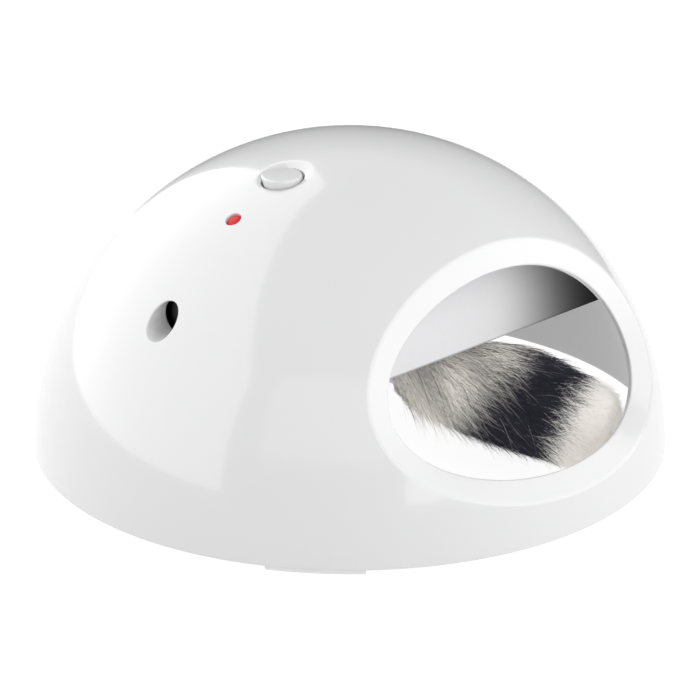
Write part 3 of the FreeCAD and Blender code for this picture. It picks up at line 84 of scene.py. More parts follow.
# The tail: a drooping line out from the rotor's axis, with the fur round it
TAIL_ANGLE = math.radians(26)
TAIL_DROP = math.radians(10.8)
TAIL_HEIGHT = 37.2 * MM
TAIL_ROOT = 20.5 * MM
TAIL_TIP = 108 * MM


# Mesh helpers
def placed(name, data):
    """A new object in the scene."""
    made = bpy.data.objects.new(name, data)
    bpy.context.scene.collection.objects.link(made)
    return made


def finished(name, mesh, material, body):
    """Makes an object of a mesh, gives it its finish and lets it ride on its body."""
    piece = placed(name, mesh)
    mesh.materials.append(material)
    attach(piece, body)
    return piece


def bare_mesh(bm, name):
    """Turns a bmesh into a mesh as it is."""
    mesh = bpy.data.meshes.new(name)
    bm.to_mesh(mesh)
    bm.free()
    return mesh


def to_mesh(bm, name, sharp=40):
    """Turns a closed bmesh into a smooth mesh whose sharp edges stay crisp."""
    bmesh.ops.remove_doubles(bm, verts=bm.verts, dist=1e-7)
    bmesh.ops.recalc_face_normals(bm, faces=bm.faces)
    for face in bm.faces:
        face.smooth = True
    for edge in bm.edges:
        if edge.is_manifold and edge.calc_face_angle() > math.radians(sharp):
            edge.smooth = False
    return bare_mesh(bm, name)


def next_ring(bm, edges, points):
    """Extrudes a loop of edges and lays each new vertex on its spoke's point."""
    spoke = bm.verts.layers.int["spoke"]
    grown = bmesh.ops.extrude_edge_only(bm, edges=edges)["geom"]
    for item in grown:
        if isinstance(item, bmesh.types.BMVert):
            item.co = points[item[spoke]]
    return [item for item in grown if isinstance(item, bmesh.types.BMEdge)]


def number_spokes(bm, edges, angle_of):
    """Numbers a loop's vertices by their angle and returns them in that order."""
    spoke = bm.verts.layers.int["spoke"]
    found = {vert for edge in edges for vert in edge.verts}
    verts = sorted(found, key=lambda vert: angle_of(vert.co))
    for number, vert in enumerate(verts):
        vert[spoke] = number
    return verts


def arc(centre, start, end, steps):
    """Points on the arc about a centre from start to end, both included."""
    first, last = start - centre, end - centre
    sweep = first.angle(last)
    points = []
    for step in range(steps + 1):
        share = step / steps
        blend = first * math.sin(sweep * (1 - share)) + last * math.sin(sweep * share)
        points.append(centre + blend / math.sin(sweep))
    return points


# Dome shell: rings grown from the window's lip, outwards over the skin and inwards behind it
SPOKES = 240
FAR_RING = math.radians(166)
SKIN_RINGS = 84
INNER_RINGS = 60
AXIS = Vector((math.cos(WINDOW_TILT), 0, math.sin(WINDOW_TILT)))
WINDOW_UP = Vector((-math.sin(WINDOW_TILT), 0, math.cos(WINDOW_TILT)))
WINDOW_ACROSS = Vector((0, 1, 0))


def window_point(half_sizes, radius, turn):
    """A point of an oval round the window's axis, laid on a ball of this radius."""
    flat = (WINDOW_ACROSS * half_sizes[0] * math.cos(turn)
            + WINDOW_UP * half_sizes[1] * math.sin(turn))
    return DOME_CENTRE + AXIS * math.sqrt(radius ** 2 - flat.length_squared) + flat


def sphere_rings(starts, radius, far, count):
    """Rings over a ball from a first ring to a polar angle near the window's far pole."""
    rings = []
    offsets = [point - DOME_CENTRE for point in starts]
    ways = [(offset - AXIS * offset.dot(AXIS)).normalized() for offset in offsets]
    polar = [AXIS.angle(offset) for offset in offsets]
    support = 0.5 * MM / radius
    for step in range(count + 1):
        share = step / count
        ring = []
        for way, first in zip(ways, polar):
            angle = first + support + (far - first - support) * share
            ring.append(DOME_CENTRE + (AXIS * math.cos(angle) + way * math.sin(angle)) * radius)
        rings.append(ring)
    return rings


def dome_sections():
    """The points of every ring, from the lip outwards and from the lip inwards."""
    turns = [2 * math.pi * number / SPOKES for number in range(SPOKES)]
    ridge = [window_point(WINDOW_OUTER, DOME_RADIUS, turn) for turn in turns]
    lip = [window_point(WINDOW_INNER, DOME_RADIUS - WINDOW_RECESS, turn) for turn in turns]
    fillets, backs = [], []
    for number in range(SPOKES):
        corner, edge = ridge[number], lip[number]
        along_ridge = (ridge[(number + 1) % SPOKES] - ridge[number - 1]).normalized()
        away = along_ridge.cross((corner - DOME_CENTRE).normalized())
        away = away if away.dot(AXIS) < 0 else -away
        inward = edge - corner
        inward = (inward - along_ridge * inward.dot(along_ridge)).normalized()
        half = away.angle(inward) / 2
        reach = WINDOW_EDGE_ROUND / math.tan(half)
        middle = corner + (away + inward).normalized() * WINDOW_EDGE_ROUND / math.sin(half)
        over = arc(middle, corner + inward * reach, corner + away * reach, 8)
        along = (corner - edge).normalized()
        behind = (along * AXIS.dot(along) - AXIS).normalized()
        fillets.append([edge + along * 2 * LIP_ROUND, over[0] + inward * 0.4 * MM] + over)

        front = arc(edge + (along + behind) * LIP_ROUND,
                    edge + along * LIP_ROUND, edge + behind * LIP_ROUND, 4)
        back_edge = edge + behind * DOME_WALL
        rear = arc(back_edge + (along - behind) * LIP_ROUND,
                   back_edge - behind * LIP_ROUND, back_edge + along * LIP_ROUND, 4)
        offset = back_edge - DOME_CENTRE
        slope = offset.dot(along)
        inner = DOME_RADIUS - DOME_WALL
        run = -slope + math.sqrt(slope ** 2 - offset.length_squared + inner ** 2)
        backs.append(front + rear + [back_edge + along * run])
    outwards = [list(ring) for ring in zip(*fillets)]
    inwards = [list(ring) for ring in zip(*backs)]
    outwards += sphere_rings(outwards[-1], DOME_RADIUS, FAR_RING, SKIN_RINGS)
    inwards += sphere_rings(inwards[-1], DOME_RADIUS - DOME_WALL, FAR_RING, INNER_RINGS)
    return outwards, inwards


def leaning(elevation):
    """The frame of a line through the dome's centre at this elevation, towards the laser's side."""
    up = Vector((0, math.sin(elevation), math.cos(elevation)))
    across = Vector((1, 0, 0))
    return DOME_CENTRE, across, up, across.cross(up)


def skin_faces(bm, radius, way, reach):
    """The faces of one skin that lie within an angle of a direction."""
    found = []
    for face in bm.faces:
        place = face.calc_center_median() - DOME_CENTRE
        if abs(place.length - radius) < DOME_WALL / 2 and place.angle(way) < reach:
            found.append(face)
    return found


def round_opening(bm, radius, way, reach, cuts):
    """Cuts a round hole in one skin and returns its boundary."""
    faces = skin_faces(bm, radius, way, reach * 1.6)
    geometry = list({item for face in faces for item in (*face.verts, *face.edges, face)})
    plane = DOME_CENTRE + way * radius * math.cos(reach)
    bmesh.ops.bisect_plane(bm, geom=geometry, dist=1e-7, plane_co=plane, plane_no=way)
    beyond = [face for face in skin_faces(bm, radius, way, reach * 1.6)
              if (face.calc_center_median() - plane).dot(way) > 0]
    bmesh.ops.delete(bm, geom=beyond, context="FACES")

    def boundary():
        return [edge for edge in bm.edges if edge.is_boundary and all(
            abs((vert.co - DOME_CENTRE).length - radius) < DOME_WALL / 2
            and abs((vert.co - plane).dot(way)) < 1e-5 for vert in edge.verts)]

    bmesh.ops.subdivide_edges(bm, edges=boundary(), cuts=cuts)
    edges = boundary()
    for vert in {vert for edge in edges for vert in edge.verts}:
        vert.co = DOME_CENTRE + (vert.co - DOME_CENTRE).normalized() * radius
    return edges


def hole(bm, origin, across, up, half_sizes, reach, floor, boss, edge_round, cuts, dished):
    """A hole through both skins, with a soft edge, a bore down to a floor and a boss round it.

    origin is on the hole's line, across and up span its plane, floor is how far out it ends,
    and a dished hole lies in a shallow dip of the outer skin.
    """
    outward = across.cross(up)
    rise = (origin - DOME_CENTRE).dot(up)
    way = (outward * math.sqrt(DOME_RADIUS ** 2 - rise ** 2) + up * rise).normalized()

    def flat(point):
        return (point - origin).dot(across), (point - origin).dot(up)

    def height(x, y, radius):
        return math.sqrt(radius ** 2 - x ** 2 - (rise + y) ** 2)

    def skin_height(x, y):
        top = height(x, y, DOME_RADIUS)
        if not dished:
            return top
        share = (math.hypot(x, y - DISH_SHIFT) - DISH_FLAT) / (DISH_RADIUS - DISH_FLAT)
        return top - DISH_DEPTH * (0.5 + 0.5 * math.cos(math.pi * min(max(share, 0), 1)))

    def lay(x, y, z):
        return origin + across * x + up * y + outward * z

    def spokes_of(edges):
        def turn_of(place):
            x, y = flat(place)
            return math.atan2(y / half_sizes[1], x / half_sizes[0])

        spokes = []
        for vert in number_spokes(bm, edges, turn_of):
            turn = turn_of(vert.co)
            x, y = math.cos(turn), math.sin(turn)
            normal = Vector((x / half_sizes[0], y / half_sizes[1])).normalized()
            edge = Vector((half_sizes[0] * x, half_sizes[1] * y))
            spokes.append((Vector(flat(vert.co)), edge, normal))
        return spokes

    edges = round_opening(bm, DOME_RADIUS, way, reach, cuts)
    inner_edges = round_opening(bm, DOME_RADIUS - DOME_WALL, way, reach, cuts)
    spokes = spokes_of(edges)
    shares = [0.25, 0.45, 0.6] + [0.66 + 0.34 * step / 12 for step in range(12)] + [0.985, 1]
    for share in shares:
        ring = []
        for first, edge, normal in spokes:
            x, y = first.lerp(edge + normal * edge_round, share)
            ring.append(lay(x, y, skin_height(x, y)))
        edges = next_ring(bm, edges, ring)
    for step in range(1, 5):
        angle = math.pi / 2 * step / 4
        ring = []
        for first, edge, normal in spokes:
            x, y = edge + normal * edge_round * (1 - math.sin(angle))
            top = skin_height(*(edge + normal * edge_round))
            ring.append(lay(x, y, top - edge_round * (1 - math.cos(angle))))
        edges = next_ring(bm, edges, ring)
    edges = next_ring(bm, edges, [lay(*edge, floor) for first, edge, normal in spokes])
    outer_edges = edges

    rims = [edge.normalized() * boss for first, edge, normal in spokes_of(inner_edges)]
    inner = DOME_RADIUS - DOME_WALL
    edges = next_ring(bm, inner_edges, [lay(*rim, height(*rim, inner)) for rim in rims])
    edges = next_ring(bm, edges, [lay(*rim, floor) for rim in rims])
    bmesh.ops.bridge_loops(bm, edges=outer_edges + edges)


def close_rim(bm):
    """Trims both skins at the rim and joins them with a rounded edge."""
    trim = RIM_HEIGHT + RIM_ROUND
    bmesh.ops.bisect_plane(bm, geom=[*bm.verts, *bm.edges, *bm.faces], dist=1e-7,
                           plane_co=(0, 0, trim), plane_no=(0, 0, -1), clear_outer=True)
    middle = DOME_RADIUS - DOME_WALL / 2
    last = []
    for outside in (True, False):
        edges = [edge for edge in bm.edges if edge.is_boundary
                 and (edge.verts[0].co.xy.length > middle) == outside]
        verts = number_spokes(bm, edges, lambda place: math.atan2(place.y, place.x))
        ways = [vert.co.xy.normalized() for vert in verts]
        radius = verts[0].co.xy.length
        inset = RIM_ROUND if outside else -RIM_ROUND
        for step in range(1, 5):
            angle = math.pi / 2 * step / 4
            reach = radius - inset * (1 - math.cos(angle))
            low = trim - RIM_ROUND * math.sin(angle)
            edges = next_ring(bm, edges, [Vector((*(way * reach), low)) for way in ways])
        last += edges
    bmesh.ops.bridge_loops(bm, edges=last)


def dome_mesh():
    """The whole shell: the window's lip, both skins, the three holes and the rim."""
    bm = bmesh.new()
    spoke = bm.verts.layers.int.new("spoke")
    outwards, inwards = dome_sections()
    for vert in bmesh.ops.create_circle(bm, segments=SPOKES, radius=1)["verts"]:
        vert[spoke] = round(math.atan2(vert.co.y, vert.co.x) / (2 * math.pi) * SPOKES) % SPOKES
        vert.co = outwards[0][vert[spoke]]
    lip_edges = list(bm.edges)
    for rings in (outwards[1:], inwards):
        edges = lip_edges
        for ring in rings:
            edges = next_ring(bm, edges, ring)

    side, upright = Vector((1, 0, 0)), Vector((0, 0, 1))
    hole(bm, DOME_CENTRE + upright * PORT_HEIGHT, side, upright, (PORT_RADIUS, PORT_RADIUS),
         PORT_REACH, PORT_END, PORT_BOSS, PORT_EDGE_ROUND, 2, False)
    button_hole = [half + BUTTON_GAP for half in BUTTON_HALF]
    hole(bm, *leaning(BUTTON_ELEVATION)[:3], button_hole,
         BUTTON_REACH, BUTTON_STOP, BUTTON_PAD, HOLE_EDGE_ROUND, 2, True)
    hole(bm, *leaning(LED_ELEVATION)[:3], (LED_HOLE, LED_HOLE),
         LED_REACH, LED_BOSS_END, LED_BOSS, HOLE_EDGE_ROUND, 3, False)
    close_rim(bm)
    return to_mesh(bm, "dome")


# Camera: the photograph's viewing angle
CAMERA_AZIMUTH = math.radians(45.636)
CAMERA_ELEVATION = math.radians(23.74)
CAMERA_DISTANCE = 1318.7 * MM
LENS = 177.8
SENSOR = 36
VIEW_SHIFT = (-0.00005, 0.1293)


def add_camera():
    flat = math.cos(CAMERA_ELEVATION)
    way = Vector((flat * math.sin(CAMERA_AZIMUTH), -flat * math.cos(CAMERA_AZIMUTH),
                  math.sin(CAMERA_ELEVATION)))
    camera = placed("camera", bpy.data.cameras.new("camera"))
    camera.location = DOME_CENTRE + way * CAMERA_DISTANCE
    camera.rotation_euler = (math.pi / 2 - CAMERA_ELEVATION, 0, CAMERA_AZIMUTH)
    camera.data.lens = LENS
    camera.data.sensor_width = SENSOR
    camera.data.shift_x, camera.data.shift_y = VIEW_SHIFT
    camera.data.clip_start = 0.05
    bpy.context.scene.camera = camera


# Materials
def new_material(name, **values):
    """A Principled material with plain values on its sockets."""
    material = bpy.data.materials.new(name)
    material.use_nodes = True
    shader = material.node_tree.nodes["Principled BSDF"]
    for label, value in values.items():
        shader.inputs[label.replace("_", " ")].default_value = value
    return material


def node(tree, kind, **settings):
    made = tree.nodes.new(kind)
    for label, value in settings.items():
        setattr(made, label, value)
    return made


def soft_grain_group():
    """A node group: fine mottling of a colour and a matching height, on Object coordinates."""
    group = bpy.data.node_groups.new("soft_grain", "ShaderNodeTree")
    face = group.interface
    for label, kind, value in (("Colour", "NodeSocketColor", (0.8, 0.8, 0.8, 1)),
                               ("Scale", "NodeSocketFloat", 900), ("Amount", "NodeSocketFloat", 0.03),
                               ("Roughness", "NodeSocketFloat", 0.4)):
        face.new_socket(label, in_out="INPUT", socket_type=kind).default_value = value
    for label, kind in (("Colour", "NodeSocketColor"), ("Roughness", "NodeSocketFloat"),
                        ("Height", "NodeSocketFloat")):
        face.new_socket(label, in_out="OUTPUT", socket_type=kind)
    given, out = node(group, "NodeGroupInput"), node(group, "NodeGroupOutput")
    place = node(group, "ShaderNodeTexCoord")
    noise = node(group, "ShaderNodeTexNoise")
    noise.inputs["Detail"].default_value = 4
    link = group.links.new
    link(place.outputs["Object"], noise.inputs["Vector"])
    link(given.outputs["Scale"], noise.inputs["Scale"])
    centred = node(group, "ShaderNodeMath", operation="SUBTRACT")
    link(noise.outputs["Fac"], centred.inputs[0])
    centred.inputs[1].default_value = 0.5
    swing = node(group, "ShaderNodeMath", operation="MULTIPLY")
    link(centred.outputs[0], swing.inputs[0])
    link(given.outputs["Amount"], swing.inputs[1])
    bright = node(group, "ShaderNodeMath", operation="ADD")
    link(swing.outputs[0], bright.inputs[0])
    bright.inputs[1].default_value = 1
    tint = node(group, "ShaderNodeVectorMath", operation="SCALE")
    link(given.outputs["Colour"], tint.inputs[0])
    link(bright.outputs[0], tint.inputs["Scale"])
    link(tint.outputs[0], out.inputs["Colour"])
    rough = node(group, "ShaderNodeMath", operation="ADD", use_clamp=True)
    link(swing.outputs[0], rough.inputs[0])
    link(given.outputs["Roughness"], rough.inputs[1])
    link(rough.outputs[0], out.inputs["Roughness"])
    link(noise.outputs["Fac"], out.inputs["Height"])
    return group


SOFT_GRAIN = soft_grain_group()


def moulded(name, colour, roughness, scale=900, amount=0.03, bump=0.02, **values):
    """A moulded or machined surface: a base colour with soft grain in colour, gloss and height."""
    material = new_material(name, **values)
    tree = material.node_tree
    shader = tree.nodes["Principled BSDF"]
    grain = node(tree, "ShaderNodeGroup", node_tree=SOFT_GRAIN)
    grain.inputs["Colour"].default_value = (*colour, 1)
    grain.inputs["Scale"].default_value = scale
    grain.inputs["Amount"].default_value = amount
    grain.inputs["Roughness"].default_value = roughness
    height = node(tree, "ShaderNodeBump")
    height.inputs["Strength"].default_value = bump
    height.inputs["Distance"].default_value = 0.2 * MM
    link = tree.links.new
    link(grain.outputs["Colour"], shader.inputs["Base Color"])
    link(grain.outputs["Roughness"], shader.inputs["Roughness"])
    link(grain.outputs["Height"], height.inputs["Height"])
    link(height.outputs["Normal"], shader.inputs["Normal"])
    return material


# Painted shade on the bulkhead: axis, from and to in metres, and the tone at each end
BULKHEAD_PAINTED_SHADE = (("Y", 0.018, 0.079, 1.0, 0.015), ("Z", 0.0512, 0.0521, 0.5, 1.0))


def painted_shade_tray():
    """The tray's plastic, with painted shade deepening towards the bulkhead's far end and a painted shadow along
    its foot and below it.
    """
    material = moulded("bulkhead_plastic_painted_shade", (0.80, 0.80, 0.81), 0.38, scale=300, amount=0.03,
                       Specular_IOR_Level=0.25)
    tree = material.node_tree
    shader = tree.nodes["Principled BSDF"]
    place = node(tree, "ShaderNodeTexCoord")
    split = node(tree, "ShaderNodeSeparateXYZ")
    link = tree.links.new
    link(place.outputs["Object"], split.inputs[0])
    total = None
    # Both tones are painted shade: darker towards the bulkhead's far end, and in a band along its foot and below it
    for axis, low, high, first, last in BULKHEAD_PAINTED_SHADE:
        tone = node(tree, "ShaderNodeMapRange", interpolation_type="SMOOTHSTEP")
        link(split.outputs[axis], tone.inputs["Value"])
        for label, value in (("From Min", low), ("From Max", high),
                             ("To Min", first), ("To Max", last)):
            tone.inputs[label].default_value = value
        if total:
            both = node(tree, "ShaderNodeMath", operation="MULTIPLY")
            link(total, both.inputs[0])
            link(tone.outputs[0], both.inputs[1])
            total = both.outputs[0]
        else:
            total = tone.outputs[0]
    colour = shader.inputs["Base Color"].links[0].from_socket
    tint = node(tree, "ShaderNodeVectorMath", operation="SCALE")
    link(colour, tint.inputs[0])
    link(total, tint.inputs["Scale"])
    link(tint.outputs[0], shader.inputs["Base Color"])
    return material


MATERIALS = {
    "dome_plastic": moulded("glossy_white_plastic", (0.80, 0.80, 0.805), 0.12, scale=60,
                            amount=0.012, bump=0.0, Coat_Weight=0.3, Coat_Roughness=0.04),
    "foot_rubber": moulded("foot_rubber", (0.93, 0.93, 0.93), 0.45),
    "tray_plastic": moulded("drive_plastic", (0.80, 0.80, 0.81), 0.38),
    "steel": moulded("bright_steel", (0.60, 0.61, 0.63), 0.28, Metallic=1.0),
    "contact_metal": moulded("contact_brass", (0.75, 0.60, 0.33), 0.3, Metallic=1.0),
    "cell_jacket": moulded("cell_jacket", (0.06, 0.07, 0.08), 0.3),
    "bush_plastic": moulded("bush_plastic", (0.10, 0.10, 0.11), 0.4),
    "gear_plastic": moulded("gear_plastic", (0.82, 0.81, 0.76), 0.35),
    "motor_steel": moulded("motor_steel", (0.58, 0.58, 0.59), 0.32, Metallic=1.0),
    "motor_cap_plastic": moulded("motor_cap_plastic", (0.03, 0.03, 0.03), 0.45),
    "gearhead_metal": moulded("gearhead_metal", (0.72, 0.66, 0.50), 0.3, Metallic=1.0),
    "tail_core_foam": moulded("tail_core_foam", (0.55, 0.50, 0.44), 0.8),
    "tail_collar_plastic": moulded("tail_collar_plastic", (0.88, 0.86, 0.83), 0.6),
    "head_plastic": moulded("head_plastic", (0.03, 0.03, 0.033), 0.45),
    "barrel_metal": moulded("barrel_metal", (0.025, 0.025, 0.028), 0.35, Metallic=0.0),
    "lens_glass": moulded("lens_glass", (0.06, 0.012, 0.016), 0.05, Coat_Weight=1.0),
    "board_laminate": moulded("board_laminate", (0.03, 0.16, 0.07), 0.25),
    "chip_plastic": moulded("chip_plastic", (0.02, 0.02, 0.02), 0.4),
    "connector_plastic": moulded("connector_plastic", (0.80, 0.78, 0.72), 0.4),
    "led_plastic": moulded("led_plastic", (0.72, 0.008, 0.012), 0.3, amount=0.01,
                           Specular_IOR_Level=0.25),
}
BULKHEAD_PAINTED_SHADE_PLASTIC = painted_shade_tray()


def dress_frame():
    """Gives every node of the frame the finish of its slot."""
    for entry in frame["record"]["subparts"]:
        material = MATERIALS.get(entry["material_slot"])
        # The bulkhead gets the plastic with painted shade towards its far end and along its foot
        if entry["node"] == "core_tray":
            material = BULKHEAD_PAINTED_SHADE_PLASTIC
        part = frame["nodes"][entry["node"]]
        if material:
            part.data.materials.clear()
            part.data.materials.append(material)


# Studio: floor, world and soft lights
def is_seen(tree):
    """One where a camera, mirror or glass ray looks."""
    path = node(tree, "ShaderNodeLightPath")
    total = path.outputs["Is Camera Ray"]
    for label in ("Is Glossy Ray", "Is Transmission Ray"):
        add = node(tree, "ShaderNodeMath", operation="ADD", use_clamp=True)
        tree.links.new(total, add.inputs[0])
        tree.links.new(path.outputs[label], add.inputs[1])
        total = add.outputs[0]
    return total


FLOOR_LIFT = 0.93
FLOOR_COLOUR = (0.16, 0.16, 0.16, 1)
FLOOR_GLOW = 0.60
WORLD_LIGHT = 0.22


def add_floor():
    bm = bmesh.new()
    bmesh.ops.create_grid(bm, x_segments=1, y_segments=1, size=12)
    mesh = bare_mesh(bm, "floor")
    floor = placed("floor", mesh)
    material = bpy.data.materials.new("floor")
    material.use_nodes = True
    tree = material.node_tree
    tree.nodes.clear()
    link = tree.links.new
    out = node(tree, "ShaderNodeOutputMaterial")
    matte = node(tree, "ShaderNodeBsdfDiffuse")
    matte.inputs["Color"].default_value = FLOOR_COLOUR
    lift = node(tree, "ShaderNodeEmission")
    strength = node(tree, "ShaderNodeMapRange")
    strength.inputs["To Min"].default_value = FLOOR_GLOW
    strength.inputs["To Max"].default_value = FLOOR_LIFT
    link(is_seen(tree), strength.inputs["Value"])
    link(strength.outputs["Result"], lift.inputs["Strength"])
    both = node(tree, "ShaderNodeAddShader")
    link(matte.outputs[0], both.inputs[0])
    link(lift.outputs[0], both.inputs[1])
    link(both.outputs[0], out.inputs["Surface"])
    mesh.materials.append(material)


def add_world():
    world = bpy.data.worlds.new("studio")
    world.use_nodes = True
    tree = world.node_tree
    back = tree.nodes["Background"]
    back.inputs["Color"].default_value = (1, 1, 1, 1)
    strength = node(tree, "ShaderNodeMapRange")
    strength.inputs["To Min"].default_value = WORLD_LIGHT
    strength.inputs["To Max"].default_value = 1
    tree.links.new(is_seen(tree), strength.inputs["Value"])
    tree.links.new(strength.outputs["Result"], back.inputs["Strength"])
    bpy.context.scene.world = world


def add_panel(name, azimuth, distance, low, high, left, right, radiance):
    """An upright soft light that faces the toy; left and right are how far it reaches to each side."""
    way = Vector((math.sin(math.radians(azimuth)), -math.cos(math.radians(azimuth)), 0))
    sideways = Vector((0, 0, 1)).cross(way)
    data = bpy.data.lights.new(name, "AREA")
    data.shape = "RECTANGLE"
    data.size = left + right
    data.size_y = high - low
    data.energy = radiance * math.pi * data.size * data.size_y
    panel = placed(name, data)
    panel.rotation_euler = (-way).to_track_quat("-Z", "Y").to_euler()
    panel.location = way * distance + sideways * (right - left) / 2 + Vector((0, 0, (low + high) / 2))


CARD_RADIUS = 0.55
CARD_HEIGHT = 0.48
CARD_AZIMUTHS = (-182, -168, -156, -144, -138, -120, -115, -113)
CARD_GREYS = (0.7, 0.5, 0.42, 0.24, 0.18, 0.2, 0.45, 0.55)


def add_card():
    """A curved grey card behind the toy, which only its gloss shows.

    It is paler towards its top and its sides.
    """
    middle = (CARD_AZIMUTHS[0] + CARD_AZIMUTHS[-1]) / 2
    half = (CARD_AZIMUTHS[-1] - CARD_AZIMUTHS[0]) / 2
    bm = bmesh.new()
    bmesh.ops.create_grid(bm, x_segments=36, y_segments=12, size=1)
    glow = bm.verts.layers.float.new("glow")
    for vert in bm.verts:
        azimuth = middle + vert.co.x * half
        rise = (vert.co.y + 1) / 2
        grey = np.interp(azimuth, CARD_AZIMUTHS, CARD_GREYS)
        vert[glow] = grey + (1 - grey) * (0.45 * rise + 0.55 * rise ** 4)
        angle = math.radians(azimuth)
        vert.co = (CARD_RADIUS * math.sin(angle), -CARD_RADIUS * math.cos(angle), CARD_HEIGHT * rise)
    mesh = bare_mesh(bm, "grey_card")
    card = placed("grey_card", mesh)
    material = bpy.data.materials.new("grey_card")
    material.use_nodes = True
    tree = material.node_tree
    tree.nodes.clear()
    out = node(tree, "ShaderNodeOutputMaterial")
    light = node(tree, "ShaderNodeEmission")
    level = node(tree, "ShaderNodeAttribute", attribute_name="glow")
    tree.links.new(level.outputs["Fac"], light.inputs["Strength"])
    tree.links.new(light.outputs[0], out.inputs["Surface"])
    mesh.materials.append(material)
    for ray in ("camera", "diffuse", "transmission", "shadow", "volume_scatter"):
        setattr(card, "visible_" + ray, False)


# Ovals and turned pieces on the dome's leaning axes
def oval_piece(name, place, profile, half_sizes, spokes, material, body):
    """A closed oval piece: profile gives how far inside the half sizes and how high each ring lies.

    A height is a number, or a function of the point's place across and up.
    """
    origin, across, up, outward = place
    bm = bmesh.new()
    spoke = bm.verts.layers.int.new("spoke")
    verts = bmesh.ops.create_circle(bm, segments=spokes, radius=1)["verts"]
    turns = {}
    for number, vert in enumerate(verts):
        vert[spoke] = number
        turns[number] = math.atan2(vert.co.y, vert.co.x)

    def ring(inset, height):
        points = []
        for number in range(spokes):
            x = max(half_sizes[0] - inset, 0) * math.cos(turns[number])
            y = max(half_sizes[1] - inset, 0) * math.sin(turns[number])
            z = height(x, y) if callable(height) else height
            points.append(origin + across * x + up * y + outward * z)
        return points

    first = ring(*profile[0])
    for vert in verts:
        vert.co = first[vert[spoke]]
    edges = list(bm.edges)
    bmesh.ops.contextual_create(bm, geom=edges)
    for inset, height in profile[1:]:
        edges = next_ring(bm, edges, ring(inset, height))
    bmesh.ops.contextual_create(bm, geom=edges)
    return finished(name, to_mesh(bm, name), material, body)


def turned_piece(name, place, profile, material, body, steps=64):
    """A round piece spun about its line from points (radius, height)."""
    origin, across, up, outward = place
    bm = bmesh.new()
    verts = [bm.verts.new(origin + across * radius + outward * height) for radius, height in profile]
    edges = [bm.edges.new(pair) for pair in zip(verts, verts[1:])]
    bmesh.ops.spin(bm, geom=verts + edges, cent=origin, axis=outward, angle=2 * math.pi, steps=steps,
                   use_merge=True, use_duplicate=False)
    return finished(name, to_mesh(bm, name, 30), material, body)


def button_cap():
    """The cap's top lies almost level, so its front side stands prouder than its back."""
    low = BUTTON_STOP - 1.3 * MM
    flange, flange_top = -2.9 * MM, low + 1.2 * MM
    round_ = 0.7 * MM

    def below_top(depth):
        return lambda x, y: (DOME_RADIUS + BUTTON_CROWN - y * BUTTON_SLOPE
                             - (x * x + y * y) / (2 * DOME_RADIUS) - depth)

    profile = [(0, low), (flange, low), (flange, flange_top), (0, flange_top)]
    profile.append((0, below_top(round_ * 1.6)))
    for step in range(7):
        angle = math.pi / 2 * step / 6
        profile.append((round_ * (1 - math.cos(angle)), below_top(round_ * (1 - math.sin(angle)))))
    profile += [(inset * MM, below_top(0)) for inset in (1.2, 2.4, 3.8, 5.2, 6.6)]
    piece = oval_piece("button_cap_moulding", leaning(BUTTON_ELEVATION), profile, BUTTON_HALF, 96,
                       MATERIALS["dome_plastic"], "power_button")
    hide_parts("button_cap")


def indicator_light():
    """A red light with a low crowned tip, just below the skin."""
    tip = DOME_RADIUS - 0.4 * MM
    radius, crown = 2.75 * MM, 0.9 * MM
    base, flange = tip - 7.5 * MM, 2.9 * MM
    profile = [(0, base), (flange, base), (flange, base + MM), (radius, base + MM),
               (radius, tip - crown)]
    for step in range(1, 13):
        angle = math.pi / 2 * step / 12
        profile.append((radius * math.cos(angle), tip - crown + crown * math.sin(angle)))
    piece = turned_piece("indicator_lens", leaning(LED_ELEVATION), profile, MATERIALS["led_plastic"],
                         "housing", 48)
    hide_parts("indicator_led")


def foot_pads():
    """Four soft pads, each a rounded strip swept along the rim."""
    low, high = 0.0, RIM_HEIGHT
    inner, outer = 109.8 * MM, 117 * MM
    round_ = 0.9 * MM
    half = math.radians(8.8)
    groove, groove_height = 1.5 * MM, 0.8 * MM
    for name, middle in (("front_left", -129.6), ("front_right", -50.4), ("rear_right", 50.4),
                         ("rear_left", 129.6)):
        bm = bmesh.new()
        profile = [(inner, high), (outer - groove, high), (outer - groove, high - groove_height),
                   (outer, high - groove_height - 0.1 * MM), (outer, low + round_)]
        profile += [(outer - round_ * (1 - math.cos(angle)), low + round_ * (1 - math.sin(angle)))
                    for angle in (math.pi / 6, math.pi / 3, math.pi / 2)]
        profile += [(inner + round_ * (1 - math.sin(angle)), low + round_ * (1 - math.cos(angle)))
                    for angle in (0, math.pi / 6, math.pi / 3, math.pi / 2)]
        start = math.radians(middle) - half
        verts = [bm.verts.new((radius * math.cos(start), radius * math.sin(start), z))
                 for radius, z in profile]
        edges = [bm.edges.new(pair) for pair in zip(verts, verts[1:] + verts[:1])]
        face = bmesh.ops.contextual_create(bm, geom=edges)["faces"]
        bmesh.ops.spin(bm, geom=verts + edges + face, cent=(0, 0, 0), axis=(0, 0, 1),
                       angle=2 * half, steps=24, use_duplicate=False)
        piece = finished("foot_pad_strip_" + name, to_mesh(bm, name), MATERIALS["foot_rubber"],
                         "housing")
        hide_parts("foot_pad_" + name)


# Fur: a soft body with long strands combed outwards and down its flanks
SEED = 7
PILES = 5
STRANDS = 7600
STRAND_RADIUS = 0.095 * MM
STRAND_SIDES = 3
STRAND_POINTS = 5
STRAND_WIDTHS = (1.0, 1.0, 0.85, 0.6, 0.12)
TAIL_START = Vector((0, 0, TAIL_HEIGHT))
TAIL_WAY = Vector((math.cos(TAIL_DROP) * math.cos(TAIL_ANGLE),
                   math.cos(TAIL_DROP) * math.sin(TAIL_ANGLE), -math.sin(TAIL_DROP)))
TAIL_SIDE = Vector((-math.sin(TAIL_ANGLE), math.cos(TAIL_ANGLE), 0))
TAIL_UP = TAIL_WAY.cross(TAIL_SIDE)
